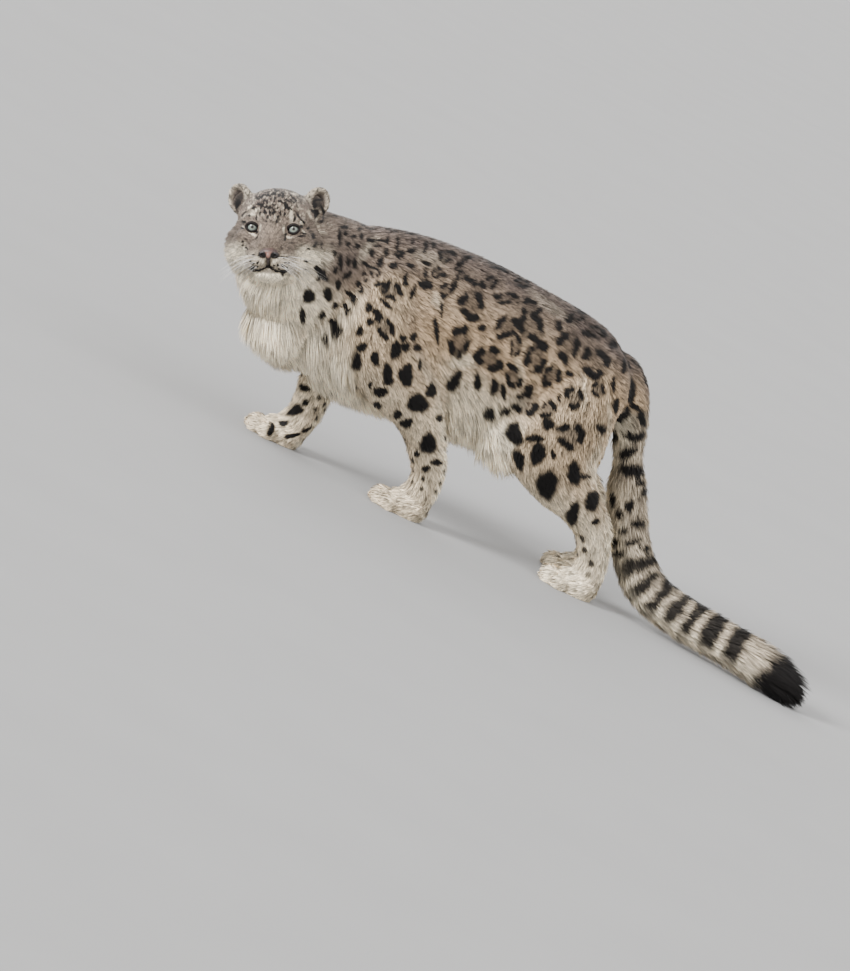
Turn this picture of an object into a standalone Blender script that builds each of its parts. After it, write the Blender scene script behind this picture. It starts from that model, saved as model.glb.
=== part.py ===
"""A snow leopard, life size, standing still with its head turned to its left.

Units are metres and +Z is up. The leopard faces -Y and its left side is +X. The floor is at Z = 0.
The body is shaped as clay: lofts and ellipsoids that a voxel remesh fuses, a smoothing softens and a
decimation makes light. Where the coat is long, tapered locks are planted on that core and fused with it.
The whole is then parted with thin cuts into the pieces that a person would name.
"""

import math
import random

import bmesh
import bpy
import numpy as np
from mathutils import Euler, Matrix, Vector
from mathutils.bvhtree import BVHTree

# Driving dimensions
CUT_GAP = 0.0003
MERGE_DISTANCE = 0.00001
SHAPED_GAP = 0.00045
BODY_VOXEL = 0.009
PAW_VOXEL = 0.0036
SKULL_VOXEL = 0.0045
HEAD_VOXEL = 0.0030
CUTTER_VOXEL = 0.010
BODY_TRIANGLES = 2900
BODY_COAT_TRIANGLES = 4800
PAW_TRIANGLES = 330
SKULL_TRIANGLES = 40000
HEAD_TRIANGLES = 2900
HEAD_COAT_TRIANGLES = 3200
CUTTER_TRIANGLES = 240
MOST_EXTRA = 0.30

# The middle of the model's box on the floor, in the frame that the shapes below are written in
BOX_CENTRE = (0.065, 0.060)

# The head's own frame: its middle at eye level, turned, tilted and nodded from the body's frame
HEAD_PLACE = (0.0755, -0.6995, 0.469)
HEAD_TURN, HEAD_TILT, HEAD_NOD = 71.3, -25.4, -7.6

EYE_RADIUS = 0.0165
EYE_PLACE = (0.0470, -0.0735, 0.0)
LID_THICKNESS = 0.0024
EYE_OPENING = (0.0140, 0.0160, 0.0108)
EYE_SLANT = 8.0
MOUTH_HEIGHT, MOUTH_DEPTH = 0.0024, 0.0100
MOUTH_HALF = (
    (0.0, -0.1400, -0.0885),
    (0.0150, -0.1390, -0.0965),
    (0.0310, -0.1270, -0.0990),
    (0.0450, -0.0970, -0.0950),
)
EAR_PLACE = (0.0865, 0.012, 0.064)
EAR_SIZE = (0.0285, 0.0180, 0.0385)
EAR_LEAN = (-12.0, 26.0, 22.0)
EAR_CUP_PLACE = (0.0, -0.0153, -0.002)
EAR_CUP_SIZE = (0.0205, 0.0207, 0.0293)
EAR_REGION_PLACE = (0.0945, 0.010, 0.0785)
EAR_REGION_SIZE = (0.043, 0.036, 0.044)

# Planes of the thin cuts: a point on each and the direction of the piece that is parted off
NECK_TOP_CUT = ((0.047, -0.648, 0.448), (0.31, -0.85, 0.43))
NECK_BASE_CUT = ((0.000, -0.500, 0.450), (0.00, -0.70, 0.71))
TAIL_UPPER_CUT = ((0.026, 0.384, 0.222), (0.05, 0.45, -0.89))
TAIL_LOWER_CUT = ((0.060, 0.482, 0.098), (0.24, 0.80, -0.55))
TAIL_TIP_CUT = ((0.130, 0.635, 0.060), (0.35, 0.94, 0.0))
TAIL_ROOT_CUT = ((0.0, 0.236, 0.450), (0.0, 0.98, -0.20))
WRIST_HEIGHT = 0.078
KNEE_HEIGHTS = {"front_left": 0.215, "front_right": 0.215, "hind_left": 0.205, "hind_right": 0.205}

# The region that parts a leg off: where its inner side runs from the first share of its length to the
# second, the room outside the leg, how much looser it is at the paw, and how far it goes below the floor
LEG_INNER_SHARES = (0.4, 0.7)
LEG_INNER_SIDES = (0.058, 0.015)
LEG_OUTER_ROOM = 0.080
LEG_LOOSENESS = 0.7
BELOW_FLOOR = 0.06

# Sections along the torso: (back, middle height, half height, half width)
TORSO = (
    (-0.615, 0.330, 0.060, 0.055),
    (-0.580, 0.345, 0.115, 0.090),
    (-0.520, 0.362, 0.163, 0.117),
    (-0.440, 0.378, 0.190, 0.134),
    (-0.320, 0.396, 0.202, 0.141),
    (-0.200, 0.409, 0.199, 0.142),
    (-0.080, 0.414, 0.193, 0.139),
    (0.020, 0.423, 0.180, 0.136),
    (0.110, 0.434, 0.160, 0.130),
    (0.180, 0.440, 0.132, 0.108),
    (0.225, 0.445, 0.090, 0.075),
    (0.245, 0.447, 0.040, 0.035),
)

# Sections along the neck: (left, back, height, half width, half depth)
NECK = (
    (0.000, -0.400, 0.400, 0.100, 0.130),
    (0.005, -0.500, 0.405, 0.118, 0.152),
    (0.025, -0.585, 0.415, 0.118, 0.140),
    (0.050, -0.650, 0.432, 0.110, 0.120),
    (0.068, -0.700, 0.455, 0.080, 0.085),
)

# Sections down each leg: (left, back, height, half width, half depth). Right legs have left below zero.
LEG_FRONT_LEFT = (
    (0.070, -0.400, 0.520, 0.034, 0.055),
    (0.092, -0.405, 0.430, 0.060, 0.095),
    (0.106, -0.380, 0.350, 0.066, 0.100),
    (0.114, -0.300, 0.285, 0.062, 0.084),
    (0.112, -0.222, 0.240, 0.054, 0.064),
    (0.106, -0.162, 0.185, 0.047, 0.050),
    (0.100, -0.122, 0.130, 0.043, 0.043),
    (0.097, -0.110, 0.085, 0.041, 0.041),
    (0.096, -0.114, 0.045, 0.040, 0.044),
    (0.096, -0.122, 0.000, 0.034, 0.040),
)
LEG_FRONT_RIGHT = (
    (-0.070, -0.420, 0.520, 0.034, 0.055),
    (-0.092, -0.430, 0.430, 0.060, 0.095),
    (-0.106, -0.440, 0.350, 0.066, 0.098),
    (-0.112, -0.420, 0.285, 0.060, 0.080),
    (-0.108, -0.400, 0.230, 0.052, 0.062),
    (-0.100, -0.392, 0.175, 0.045, 0.048),
    (-0.094, -0.388, 0.120, 0.042, 0.044),
    (-0.092, -0.390, 0.080, 0.041, 0.042),
    (-0.092, -0.400, 0.045, 0.040, 0.044),
    (-0.092, -0.412, 0.000, 0.034, 0.040),
)
LEG_HIND_LEFT = (
    (0.062, 0.135, 0.510, 0.040, 0.060),
    (0.088, 0.120, 0.430, 0.060, 0.108),
    (0.102, 0.112, 0.350, 0.066, 0.124),
    (0.108, 0.130, 0.288, 0.062, 0.116),
    (0.107, 0.182, 0.236, 0.052, 0.084),
    (0.102, 0.246, 0.200, 0.043, 0.058),
    (0.098, 0.302, 0.162, 0.039, 0.048),
    (0.096, 0.332, 0.118, 0.037, 0.042),
    (0.095, 0.344, 0.080, 0.037, 0.041),
    (0.095, 0.346, 0.042, 0.038, 0.044),
    (0.095, 0.340, 0.000, 0.034, 0.042),
)
HIND_RIGHT_SHIFT = 0.055
TAIL_CORE = 0.62
CHEST_MIDDLE = (0.0, -0.50, 0.33)
RUFF_MIDDLE = (0.0, -0.015, -0.030)

# The tail's middle line and the radius that its coat reaches: (left, back, height, radius)
TAIL = (
    (0.000, 0.130, 0.500, 0.050),
    (0.004, 0.215, 0.498, 0.056),
    (0.010, 0.275, 0.432, 0.056),
    (0.016, 0.322, 0.345, 0.055),
    (0.024, 0.372, 0.245, 0.055),
    (0.040, 0.430, 0.150, 0.057),
    (0.068, 0.500, 0.085, 0.059),
    (0.108, 0.585, 0.062, 0.060),
    (0.158, 0.680, 0.060, 0.060),
    (0.205, 0.765, 0.058, 0.057),
    (0.228, 0.812, 0.050, 0.046),
    (0.238, 0.834, 0.042, 0.030),
)

# Paws: (left, back, turn in degrees) of the palm's middle
PAWS = {
    "front_left": (0.097, -0.128, -4.0),
    "front_right": (-0.092, -0.418, 4.0),
    "hind_left": (0.096, 0.330, -4.0),
    "hind_right": (-0.096, 0.385, 4.0),
}

# Locks of long coat: (share of the length, share of the width, share of the thickness) of each section
LOCK_SECTIONS = ((0.0, 0.75, 1.0), (0.35, 1.0, 0.9), (0.72, 0.66, 0.6), (1.0, 0.0, 0.0))
LOCK_SEED = 10
LOCK_THICKNESS = 0.006
LOCK_SINK = 0.006
LOCK_BEND = 1.25
LOCK_SWAY = 0.08
RAY_JITTER = 0.08
SIZE_JITTER = 0.10
LEAST_FACING = 0.2

# The locks of each stretch of coat. Rise is how far the tips stand off the core, curl how far the edges
# drop for each unit of half width, and reach how far the rays that plant them go.
LOCKS = {
    "chest": {"length": 0.105, "width": 0.068, "rise": 0.030, "curl": 0.22, "reach": 0.20},
    "belly": {"length": 0.105, "width": 0.076, "rise": 0.040, "curl": 0.20, "reach": 0.25},
    "tail": {"length": 0.125, "width": 0.064, "rise": 0.022, "curl": 0.38, "reach": 0.09},
    "thigh": {"length": 0.085, "width": 0.048, "rise": 0.017, "curl": 0.22, "reach": 0.15},
    "ruff": {"length": 0.060, "width": 0.042, "rise": 0.010, "curl": 0.26, "reach": 0.20},
}

# Where the locks are planted: rows along the belly (back, spread in degrees) and up the chest
# (pitch, spread), tiers round the face, and rings and spokes round the tail
BELLY_ROWS = ((-0.385, 20), (-0.305, 30), (-0.225, 46), (-0.155, 60), (-0.085, 60), (-0.015, 46))
CHEST_ROWS = ((26, 44), (6, 58), (-15, 62), (-37, 62), (-60, 50))
TRUNK_STEP = 28
RUFF_TIERS = (-20, 6, 32)
RUFF_SPREAD = 110
RUFF_STEP = 24
TAIL_RINGS = (0.20, 0.955, 10)
TAIL_SPOKES = 5
TAIL_UPWARD = (0.0, 0.3, 1.0)
THIGH_SECTIONS = (2, 6)
THIGH_WAYS = ((0.50, 1.0, -0.1), (-0.30, 1.0, -0.1))

# The ways that the coat lies: down and back on the trunk and the thighs, and out from the face in the ruff
TRUNK_LIE = (0.0, 0.55, -0.84)
THIGH_LIE = (0.0, 0.25, -0.97)
RUFF_FLARE = 3.6

PAW_HALF_WIDTH, PAW_HALF_LENGTH = 0.048, 0.056
TOES = ((-0.035, -0.040, 0.90), (-0.0125, -0.056, 1.0), (0.0125, -0.056, 1.0), (0.035, -0.040, 0.90))
TOE_RADII = (0.0175, 0.029, 0.024)

COAT = {"colour": (0.62, 0.56, 0.46, 1.0), "roughness": 0.9}
EYE = {"colour": (0.45, 0.52, 0.46, 1.0), "roughness": 0.1}


def clear_scene():
    for obj in list(bpy.data.objects):
        bpy.data.objects.remove(obj)


def material(name, colour, roughness):
    made = bpy.data.materials.new(name)
    made.use_nodes = True
    shader = made.node_tree.nodes["Principled BSDF"]
    shader.inputs["Base Color"].default_value = colour
    shader.inputs["Roughness"].default_value = roughness
    made.diffuse_color = colour
    return made


def add_object(name, mesh):
    """A new object that holds mesh, in the leopard's collection."""
    obj = bpy.data.objects.new(name, mesh)
    bpy.data.collections["snow_leopard"].objects.link(obj)
    return obj


def catmull_rom(rows, steps):
    """The rows of numbers read along a Catmull-Rom curve, with steps points for each span."""
    rows = np.asarray(rows, float)
    padded = np.vstack([2 * rows[0] - rows[1], rows, 2 * rows[-1] - rows[-2]])
    t = np.linspace(0.0, 1.0, steps, endpoint=False)[:, None]
    spans = []
    for a, b, c, d in zip(padded, padded[1:], padded[2:], padded[3:]):
        square = 2 * a - 5 * b + 4 * c - d
        cube = 3 * b - a - 3 * c + d
        spans.append(0.5 * (2 * b + (c - a) * t + square * t**2 + cube * t**3))
    return np.vstack([*spans, rows[-1:]])


def loft(name, centres, widths, depths, side=(1.0, 0.0, 0.0), spokes=20):
    """A closed form through elliptic sections that stand across the line of centres.

    Each section is widths wide along side and depths deep across both side and the line, half sizes both.
    """
    along = np.gradient(centres, axis=0)
    along /= np.linalg.norm(along, axis=1, keepdims=True)
    wide = np.asarray(side, float) - along * (along @ np.asarray(side, float))[:, None]
    wide /= np.linalg.norm(wide, axis=1, keepdims=True)
    deep = np.cross(along, wide)
    turn = np.linspace(0.0, 2 * np.pi, spokes, endpoint=False)
    ring = wide[:, None] * (widths[:, None] * np.cos(turn))[..., None]
    ring = ring + deep[:, None] * (depths[:, None] * np.sin(turn))[..., None]
    points = (centres[:, None] + ring).reshape(-1, 3)
    faces = []
    for row in range(len(centres) - 1):
        for k in range(spokes):
            a, b = row * spokes + k, row * spokes + (k + 1) % spokes
            faces.append((a, b, b + spokes))
            faces.append((a, b + spokes, a + spokes))
    last = len(points) - spokes
    for k in range(1, spokes - 1):
        faces.append((0, k + 1, k))
        faces.append((last, last + k, last + k + 1))
    mesh = bpy.data.meshes.new(name)
    mesh.from_pydata(points.tolist(), [], faces)
    return add_object(name, mesh)


def limb(name, sections):
    """A loft down a leg or along the neck, from rows of (left, back, height, half width, half depth)."""
    rows = catmull_rom(sections, 4)
    return loft(name, rows[:, :3], rows[:, 3], rows[:, 4])


def ellipsoid(name, centre, radii, turn=(0.0, 0.0, 0.0), fineness=3):
    """A sphere primitive stretched to radii, turned by degrees about X, Y and Z, at centre."""
    mesh = bpy.data.meshes.new(name)
    shape = bmesh.new()
    bmesh.ops.create_icosphere(shape, subdivisions=fineness, radius=1.0)
    turned = Euler([math.radians(v) for v in turn]).to_matrix().to_4x4()
    place = Matrix.Translation(centre) @ turned @ Matrix.Diagonal((*radii, 1.0))
    bmesh.ops.transform(shape, matrix=place, verts=shape.verts)
    shape.to_mesh(mesh)
    shape.free()
    return add_object(name, mesh)


def apply_modifiers(obj):
    """Replaces the object's mesh by what its modifiers make of it."""
    graph = bpy.context.evaluated_depsgraph_get()
    mesh = bpy.data.meshes.new_from_object(obj.evaluated_get(graph))
    obj.modifiers.clear()
    obj.data = mesh


def join(name, pieces):
    """One object with the meshes of all the pieces, which are removed."""
    shape = bmesh.new()
    for piece in pieces:
        shape.from_mesh(piece.data)
        bpy.data.objects.remove(piece)
    mesh = bpy.data.meshes.new(name)
    shape.to_mesh(mesh)
    shape.free()
    return add_object(name, mesh)


def thinned(obj, triangles):
    """Collapses the least edges until the mesh has about this many triangles."""
    faces = sum(len(p.vertices) - 2 for p in obj.data.polygons)
    thin = obj.modifiers.new("thin", "DECIMATE")
    thin.ratio = min(1.0, triangles / faces)
    thin.use_collapse_triangulate = True
    apply_modifiers(obj)


def crosses_itself(mesh):
    """Whether any two triangles that share no corner meet."""
    corners = [tuple(face.vertices) for face in mesh.polygons]
    tree = BVHTree.FromPolygons([vert.co for vert in mesh.vertices], corners)
    return any(not set(corners[a]) & set(corners[b]) for a, b in tree.overlap(tree))


def thinned_clean(obj, triangles):
    """Thins the mesh to about this many triangles, or to a few more until its surface doesn't cross itself."""
    full = obj.data
    for extra in np.arange(0.0, MOST_EXTRA, 0.02):
        obj.data = full
        thinned(obj, triangles * (1.0 + extra))
        if not crosses_itself(obj.data):
            return


def fuse(name, pieces, voxel, smoothing, triangles):
    """Clay pieces made one closed surface: remeshed in voxels, smoothed and thinned."""
    clay = join(name, pieces)
    remesh = clay.modifiers.new("remesh", "REMESH")
    remesh.mode = "VOXEL"
    remesh.voxel_size = voxel
    smooth = clay.modifiers.new("smooth", "SMOOTH")
    smooth.factor = 0.5
    smooth.iterations = smoothing
    apply_modifiers(clay)
    thinned(clay, triangles)
    return clay


def copy_of(obj, name):
    return add_object(name, obj.data.copy())


def boolean(obj, other, operation):
    """Applies a Boolean with other, which stays. MANIFOLD is quick and true on these closed meshes."""
    cut = obj.modifiers.new("cut", "BOOLEAN")
    cut.operation = operation
    cut.object = other
    cut.solver = "MANIFOLD"
    apply_modifiers(obj)


def merged_shape(mesh):
    """The mesh in triangles, with its doubled points merged where the surface stays closed without them."""
    shape = bmesh.new()
    shape.from_mesh(mesh)
    merged = shape.copy()
    bmesh.ops.remove_doubles(merged, verts=merged.verts, dist=MERGE_DISTANCE)
    if all(edge.is_manifold for edge in merged.edges):
        shape, merged = merged, shape
    merged.free()
    bmesh.ops.triangulate(shape, faces=shape.faces)
    return shape


def keep_largest(obj):
    """Drops all but the closed surface with the most volume, and splits its faces into triangles."""
    shape = merged_shape(obj.data)
    shape.verts.ensure_lookup_table()
    unseen = set(shape.verts)
    islands = []
    while unseen:
        stack = [unseen.pop()]
        island = set(stack)
        while stack:
            for edge in stack.pop().link_edges:
                for vert in edge.verts:
                    if vert in unseen:
                        unseen.discard(vert)
                        island.add(vert)
                        stack.append(vert)
        islands.append(island)

    def volume(island):
        faces = {face for vert in island for face in vert.link_faces}
        return sum(f.verts[0].co.dot(f.verts[1].co.cross(f.verts[2].co)) for f in faces)

    best = max(islands, key=volume)
    bmesh.ops.delete(shape, geom=[v for v in shape.verts if v not in best], context="VERTS")
    shape.to_mesh(obj.data)
    shape.free()


def slab(name, point, normal, size=3.0):
    """A big block whose top face goes through point and faces along normal."""
    mesh = bpy.data.meshes.new(name)
    shape = bmesh.new()
    bmesh.ops.create_cube(shape, size=size)
    turned = Vector(normal).to_track_quat("Z", "Y").to_matrix().to_4x4()
    move = Matrix.Translation(point) @ turned @ Matrix.Translation((0.0, 0.0, -size / 2))
    bmesh.ops.transform(shape, matrix=move, verts=shape.verts)
    shape.to_mesh(mesh)
    shape.free()
    return add_object(name, mesh)


def split(obj, name, point, normal):
    """Parts obj by a plane with the cut gap. What lies past the plane, along normal, becomes a new object."""
    normal = Vector(normal).normalized()
    point = Vector(point)
    other = copy_of(obj, name)
    near = slab("near", point - normal * CUT_GAP / 2, normal)
    far = slab("far", point + normal * CUT_GAP / 2, -normal)
    boolean(obj, near, "INTERSECT")
    boolean(other, far, "INTERSECT")
    for block in (near, far):
        bpy.data.objects.remove(block)
    for piece in (obj, other):
        keep_largest(piece)
    return other


def swollen(obj, name, distance):
    """A copy of obj with its surface moved out by distance."""
    made = copy_of(obj, name)
    grow = made.modifiers.new("grow", "DISPLACE")
    grow.mid_level = 0.0
    grow.strength = distance
    apply_modifiers(made)
    return made


def split_shape(obj, name, region):
    """Parts obj by a closed shape. What lies inside becomes a new object, and obj is cut back by a gap."""
    other = copy_of(obj, name)
    boolean(other, region, "INTERSECT")
    room = swollen(region, "room", SHAPED_GAP)
    boolean(obj, room, "DIFFERENCE")
    for cutter in (region, room):
        bpy.data.objects.remove(cutter)
    for piece in (obj, other):
        keep_largest(piece)
    return other


def mirrored(sections):
    return tuple((-row[0], *row[1:]) for row in sections)


def moved(sections, back):
    """Sections moved back by an amount that grows from nothing at the first to all of it half way down."""
    share = [min(1.0, 2.0 * k / (len(sections) - 1)) for k in range(len(sections))]
    return tuple((row[0], row[1] + back * s, *row[2:]) for row, s in zip(sections, share))


LEGS = {
    "front_left": LEG_FRONT_LEFT,
    "front_right": LEG_FRONT_RIGHT,
    "hind_left": LEG_HIND_LEFT,
    "hind_right": moved(mirrored(LEG_HIND_LEFT), HIND_RIGHT_SHIFT),
}


def torso_clay():
    rows = catmull_rom(TORSO, 4)
    centres = np.column_stack([np.zeros(len(rows)), rows[:, 0], rows[:, 1]])
    return loft("torso_clay", centres, rows[:, 3], rows[:, 2], spokes=32)


def tail_clay():
    rows = catmull_rom(TAIL, 4)
    core = np.interp(np.linspace(0.0, 1.0, len(rows)), (0.15, 0.30), (1.0, TAIL_CORE)) * rows[:, 3]
    return loft("tail_clay", rows[:, :3], core, core)


def body_clay():
    """Trunk, neck, legs down to the floor, and tail, as one closed surface."""
    pieces = [torso_clay(), limb("neck_clay", NECK), tail_clay()]
    for name, sections in LEGS.items():
        pieces.append(limb(name, sections))
    # The deep chest, the muscle of the rump and the fold of skin from belly to knee
    pieces.append(ellipsoid("chest", (0.000, -0.538, 0.312), (0.096, 0.100, 0.116)))
    for left in (1, -1):
        pieces.append(ellipsoid("rump", (0.060 * left, 0.140, 0.440), (0.075, 0.100, 0.125)))
        pieces.append(ellipsoid("flank", (0.078 * left, 0.020, 0.310), (0.048, 0.085, 0.100)))
        ham = ellipsoid("ham", (0.082 * left, 0.182, 0.375), (0.048, 0.050, 0.112), (25.0, 0.0, 0.0))
        pieces.append(ham)
    return fuse("torso", pieces, BODY_VOXEL, 10, BODY_TRIANGLES)


def paw(name, left, back, turn):
    """A broad flat-soled paw with four rounded toes, from the floor up to the wrist."""
    facing = Matrix.Translation((left, back, 0.0)) @ Matrix.Rotation(math.radians(turn), 4, "Z")
    pieces = [ellipsoid(name, (0.0, 0.004, 0.026), (PAW_HALF_WIDTH, PAW_HALF_LENGTH, 0.040))]
    for across, forward, size in TOES:
        radii = [r * size for r in TOE_RADII]
        pieces.append(ellipsoid(name, (across, forward, 0.019), radii, (0.0, 0.0, across * 450)))
    for piece in pieces:
        piece.data.transform(facing)
    pieces.append(limb("stub", LEGS[name][-5:]))
    made = fuse("paw_" + name, pieces, PAW_VOXEL, 4, PAW_TRIANGLES)
    trim(made, (0.0, 0.0, 0.0), (0.0, 0.0, 1.0))
    trim(made, (0.0, 0.0, WRIST_HEIGHT - CUT_GAP), (0.0, 0.0, -1.0))
    return made


def head_frame():
    turn = Euler((math.radians(HEAD_NOD), math.radians(HEAD_TILT), math.radians(HEAD_TURN)), "XYZ")
    return Matrix.Translation(HEAD_PLACE) @ turn.to_matrix().to_4x4()


def both_sides(name, centre, radii, turn=(0.0, 0.0, 0.0), fineness=3):
    """An ellipsoid and its mirror image across the head's middle."""
    left = ellipsoid(name, centre, radii, turn, fineness)
    right = ellipsoid(name, (-centre[0], *centre[1:]), radii, (turn[0], -turn[1], -turn[2]), fineness)
    return [left, right]


def middle_loft(name, rows):
    """A loft along the head's middle plane, from rows of (back, height, half width, half height)."""
    rows = catmull_rom(rows, 4)
    centres = np.column_stack([np.zeros(len(rows)), rows[:, 0], rows[:, 1]])
    return loft(name, centres, rows[:, 2], rows[:, 3], spokes=28)


def head_clay():
    """The head in its own frame, where -Y is the way the face looks and the eyes are at Z = 0."""
    pieces = [
        ellipsoid("cranium", (0.0, 0.004, 0.016), (0.090, 0.098, 0.079)),
        ellipsoid("forehead", (0.0, -0.046, 0.020), (0.074, 0.046, 0.056)),
        ellipsoid("jaw", (0.0, -0.045, -0.078), (0.064, 0.074, 0.040)),
    ]
    pieces += both_sides("cheek", (0.058, -0.008, -0.040), (0.049, 0.064, 0.058))
    pieces += both_sides("cheekbone", (0.048, -0.058, -0.030), (0.042, 0.034, 0.034), (0.0, 0.0, 25.0))
    pieces += both_sides("ear_root", (0.070, 0.014, 0.050), (0.032, 0.026, 0.034), (0.0, 40.0, 0.0))
    pieces.append(
        middle_loft(
            "muzzle",
            (
                (-0.030, -0.050, 0.068, 0.058),
                (-0.072, -0.056, 0.061, 0.054),
                (-0.102, -0.066, 0.052, 0.046),
                (-0.124, -0.073, 0.042, 0.036),
                (-0.137, -0.076, 0.027, 0.022),
            ),
        )
    )
    pieces.append(
        middle_loft(
            "bridge",
            (
                (-0.056, 0.028, 0.038, 0.028),
                (-0.080, 0.006, 0.032, 0.024),
                (-0.105, -0.020, 0.029, 0.020),
                (-0.128, -0.042, 0.027, 0.015),
                (-0.138, -0.053, 0.022, 0.010),
            ),
        )
    )
    base = fuse("head", pieces, SKULL_VOXEL, 10, SKULL_TRIANGLES)
    detail = [base, ellipsoid("nose", (0.0, -0.1390, -0.0600), (0.0225, 0.0150, 0.0140), (28.0, 0.0, 0.0))]
    detail.append(ellipsoid("chin", (0.0, -0.1080, -0.1050), (0.0340, 0.0320, 0.0200)))
    detail += both_sides("whisker_pad", (0.0260, -0.1180, -0.0790), (0.0320, 0.0320, 0.0225), (0.0, 0.0, 14.0))
    detail += both_sides("brow", (0.0450, -0.0670, 0.0190), (0.0310, 0.0185, 0.0115), (0.0, 14.0, 12.0))
    detail += both_sides("lid", EYE_PLACE, [EYE_RADIUS + LID_THICKNESS] * 3)
    detail += [ear("ear", 1), ear("ear", -1)]
    return fuse("head", detail, HEAD_VOXEL, 5, HEAD_TRIANGLES)


def carve(obj, cutters):
    for cutter in cutters:
        boolean(obj, cutter, "DIFFERENCE")
        bpy.data.objects.remove(cutter)


def slit(name, points, height, depth):
    """A cutter for a groove along points, height wide across it and depth deep."""
    rows = catmull_rom(points, 3)
    heights, depths = np.full(len(rows), height), np.full(len(rows), depth)
    return loft(name, rows, heights, depths, side=(0.0, 0.0, 1.0), spokes=6)


def eyeball(name, place, radius):
    """A ball whose faces lie alike at every radius, so that an eye keeps an even gap to its socket."""
    mesh = bpy.data.meshes.new(name)
    shape = bmesh.new()
    bmesh.ops.create_uvsphere(shape, u_segments=14, v_segments=9, radius=radius)
    move = Matrix.Translation(place) @ Matrix.Rotation(math.pi / 2, 4, "X")
    bmesh.ops.transform(shape, matrix=move, verts=shape.verts)
    bmesh.ops.triangulate(shape, faces=shape.faces)
    shape.to_mesh(mesh)
    shape.free()
    return add_object(name, mesh)


def carve_face(head):
    """The openings between the lids, the sockets, the nostrils and the line of the mouth."""
    for x in (EYE_PLACE[0], -EYE_PLACE[0]):
        place = (x, *EYE_PLACE[1:])
        slant = math.copysign(EYE_SLANT, x)
        front = (x, EYE_PLACE[1] - EYE_RADIUS, 0.0)
        socket = eyeball("socket", place, EYE_RADIUS + CUT_GAP)
        opening = ellipsoid("opening", front, EYE_OPENING, (0.0, -slant, 0.0))
        carve(head, [socket, opening])
    turn = (0.0, 25.0, 20.0)
    nostrils = both_sides("nostril", (0.0130, -0.1560, -0.0620), (0.0060, 0.0110, 0.0044), turn, 2)
    mouth = [(-x, y, z) for x, y, z in MOUTH_HALF[:0:-1]] + list(MOUTH_HALF)
    groove = slit("mouth", mouth, MOUTH_HEIGHT, MOUTH_DEPTH)
    philtrum = ellipsoid("philtrum", (0.0, -0.1480, -0.0800), (0.0012, 0.0100, 0.0110), fineness=2)
    carve(head, [*nostrils, groove, philtrum])


def ear(name, side):
    """A short round ear: an egg hollowed from the front, leaning out from the head."""
    pitch, lean, turn = EAR_LEAN
    shell = ellipsoid(name, (0.0, 0.0, 0.0), EAR_SIZE)
    carve(shell, [ellipsoid("cup", EAR_CUP_PLACE, EAR_CUP_SIZE)])
    turn = Euler([math.radians(v) for v in (pitch, lean * side, turn * side)]).to_matrix().to_4x4()
    shell.data.transform(Matrix.Translation((EAR_PLACE[0] * side, *EAR_PLACE[1:])) @ turn)
    return shell


def trim(obj, point, normal):
    """Cuts away all of obj that lies behind the plane."""
    block = slab("block", point, normal)
    boolean(obj, block, "DIFFERENCE")
    bpy.data.objects.remove(block)
    keep_largest(obj)


def leg_cutter(name):
    """The region that parts a leg from the trunk: its own sections, wider outwards and looser lower down."""
    rows = np.array(LEGS[name])
    down = np.linspace(0.0, 1.0, len(rows))
    side = 1.0 if rows[0, 0] > 0 else -1.0
    inner = np.interp(down, LEG_INNER_SHARES, LEG_INNER_SIDES)
    outer = side * rows[:, 0] + rows[:, 3] + LEG_OUTER_ROOM
    centres = np.column_stack([side * (inner + outer) / 2, rows[:, 1:3]])
    centres[-1, 2] = -BELOW_FLOOR
    shape = loft(name, centres, (outer - inner) / 2, rows[:, 4] * (1.0 + LEG_LOOSENESS * down))
    return fuse(name, [shape], CUTTER_VOXEL, 2, CUTTER_TRIANGLES)


def lock(root, out, lie, length, width, rise, curl, sway):
    """A flat tapered lock of coat. It leaves the surface at root along out, then bends over to lie along lie.

    Its sections are flat diamonds whose edges drop by curl, and its last one is a point that stands rise
    above the surface.
    """
    lie = (lie - out * lie.dot(out)).normalized()
    across = lie.cross(out).normalized()
    points = []
    for along, wide, thick in LOCK_SECTIONS:
        height = -LOCK_SINK + (rise + LOCK_SINK) * (1.0 - (1.0 - along) ** LOCK_BEND)
        middle = root + lie * (along * length) + out * height + across * (sway * length * along**2)
        half, depth = width * wide / 2, out * (LOCK_THICKNESS * thick / 2)
        edge, drop = across * half, out * (half * curl)
        ring = [middle + edge - drop, middle + depth, middle - edge - drop, middle - depth]
        points += ring if wide else [middle]
    faces = [(0, 1, 3), (1, 2, 3)]
    tip = len(points) - 1
    for row in range(0, tip - 4, 4):
        for k in range(4):
            a, b = row + k, row + (k + 1) % 4
            faces += [(a, b + 4, b), (a, a + 4, b + 4)]
    faces += [(tip - 4 + k, tip, tip - 4 + (k + 1) % 4) for k in range(4)]
    mesh = bpy.data.meshes.new("lock")
    mesh.from_pydata([tuple(p) for p in points], [], faces)
    obj = bpy.data.objects.new("lock", mesh)
    bpy.data.collections["locks"].objects.link(obj)


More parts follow.
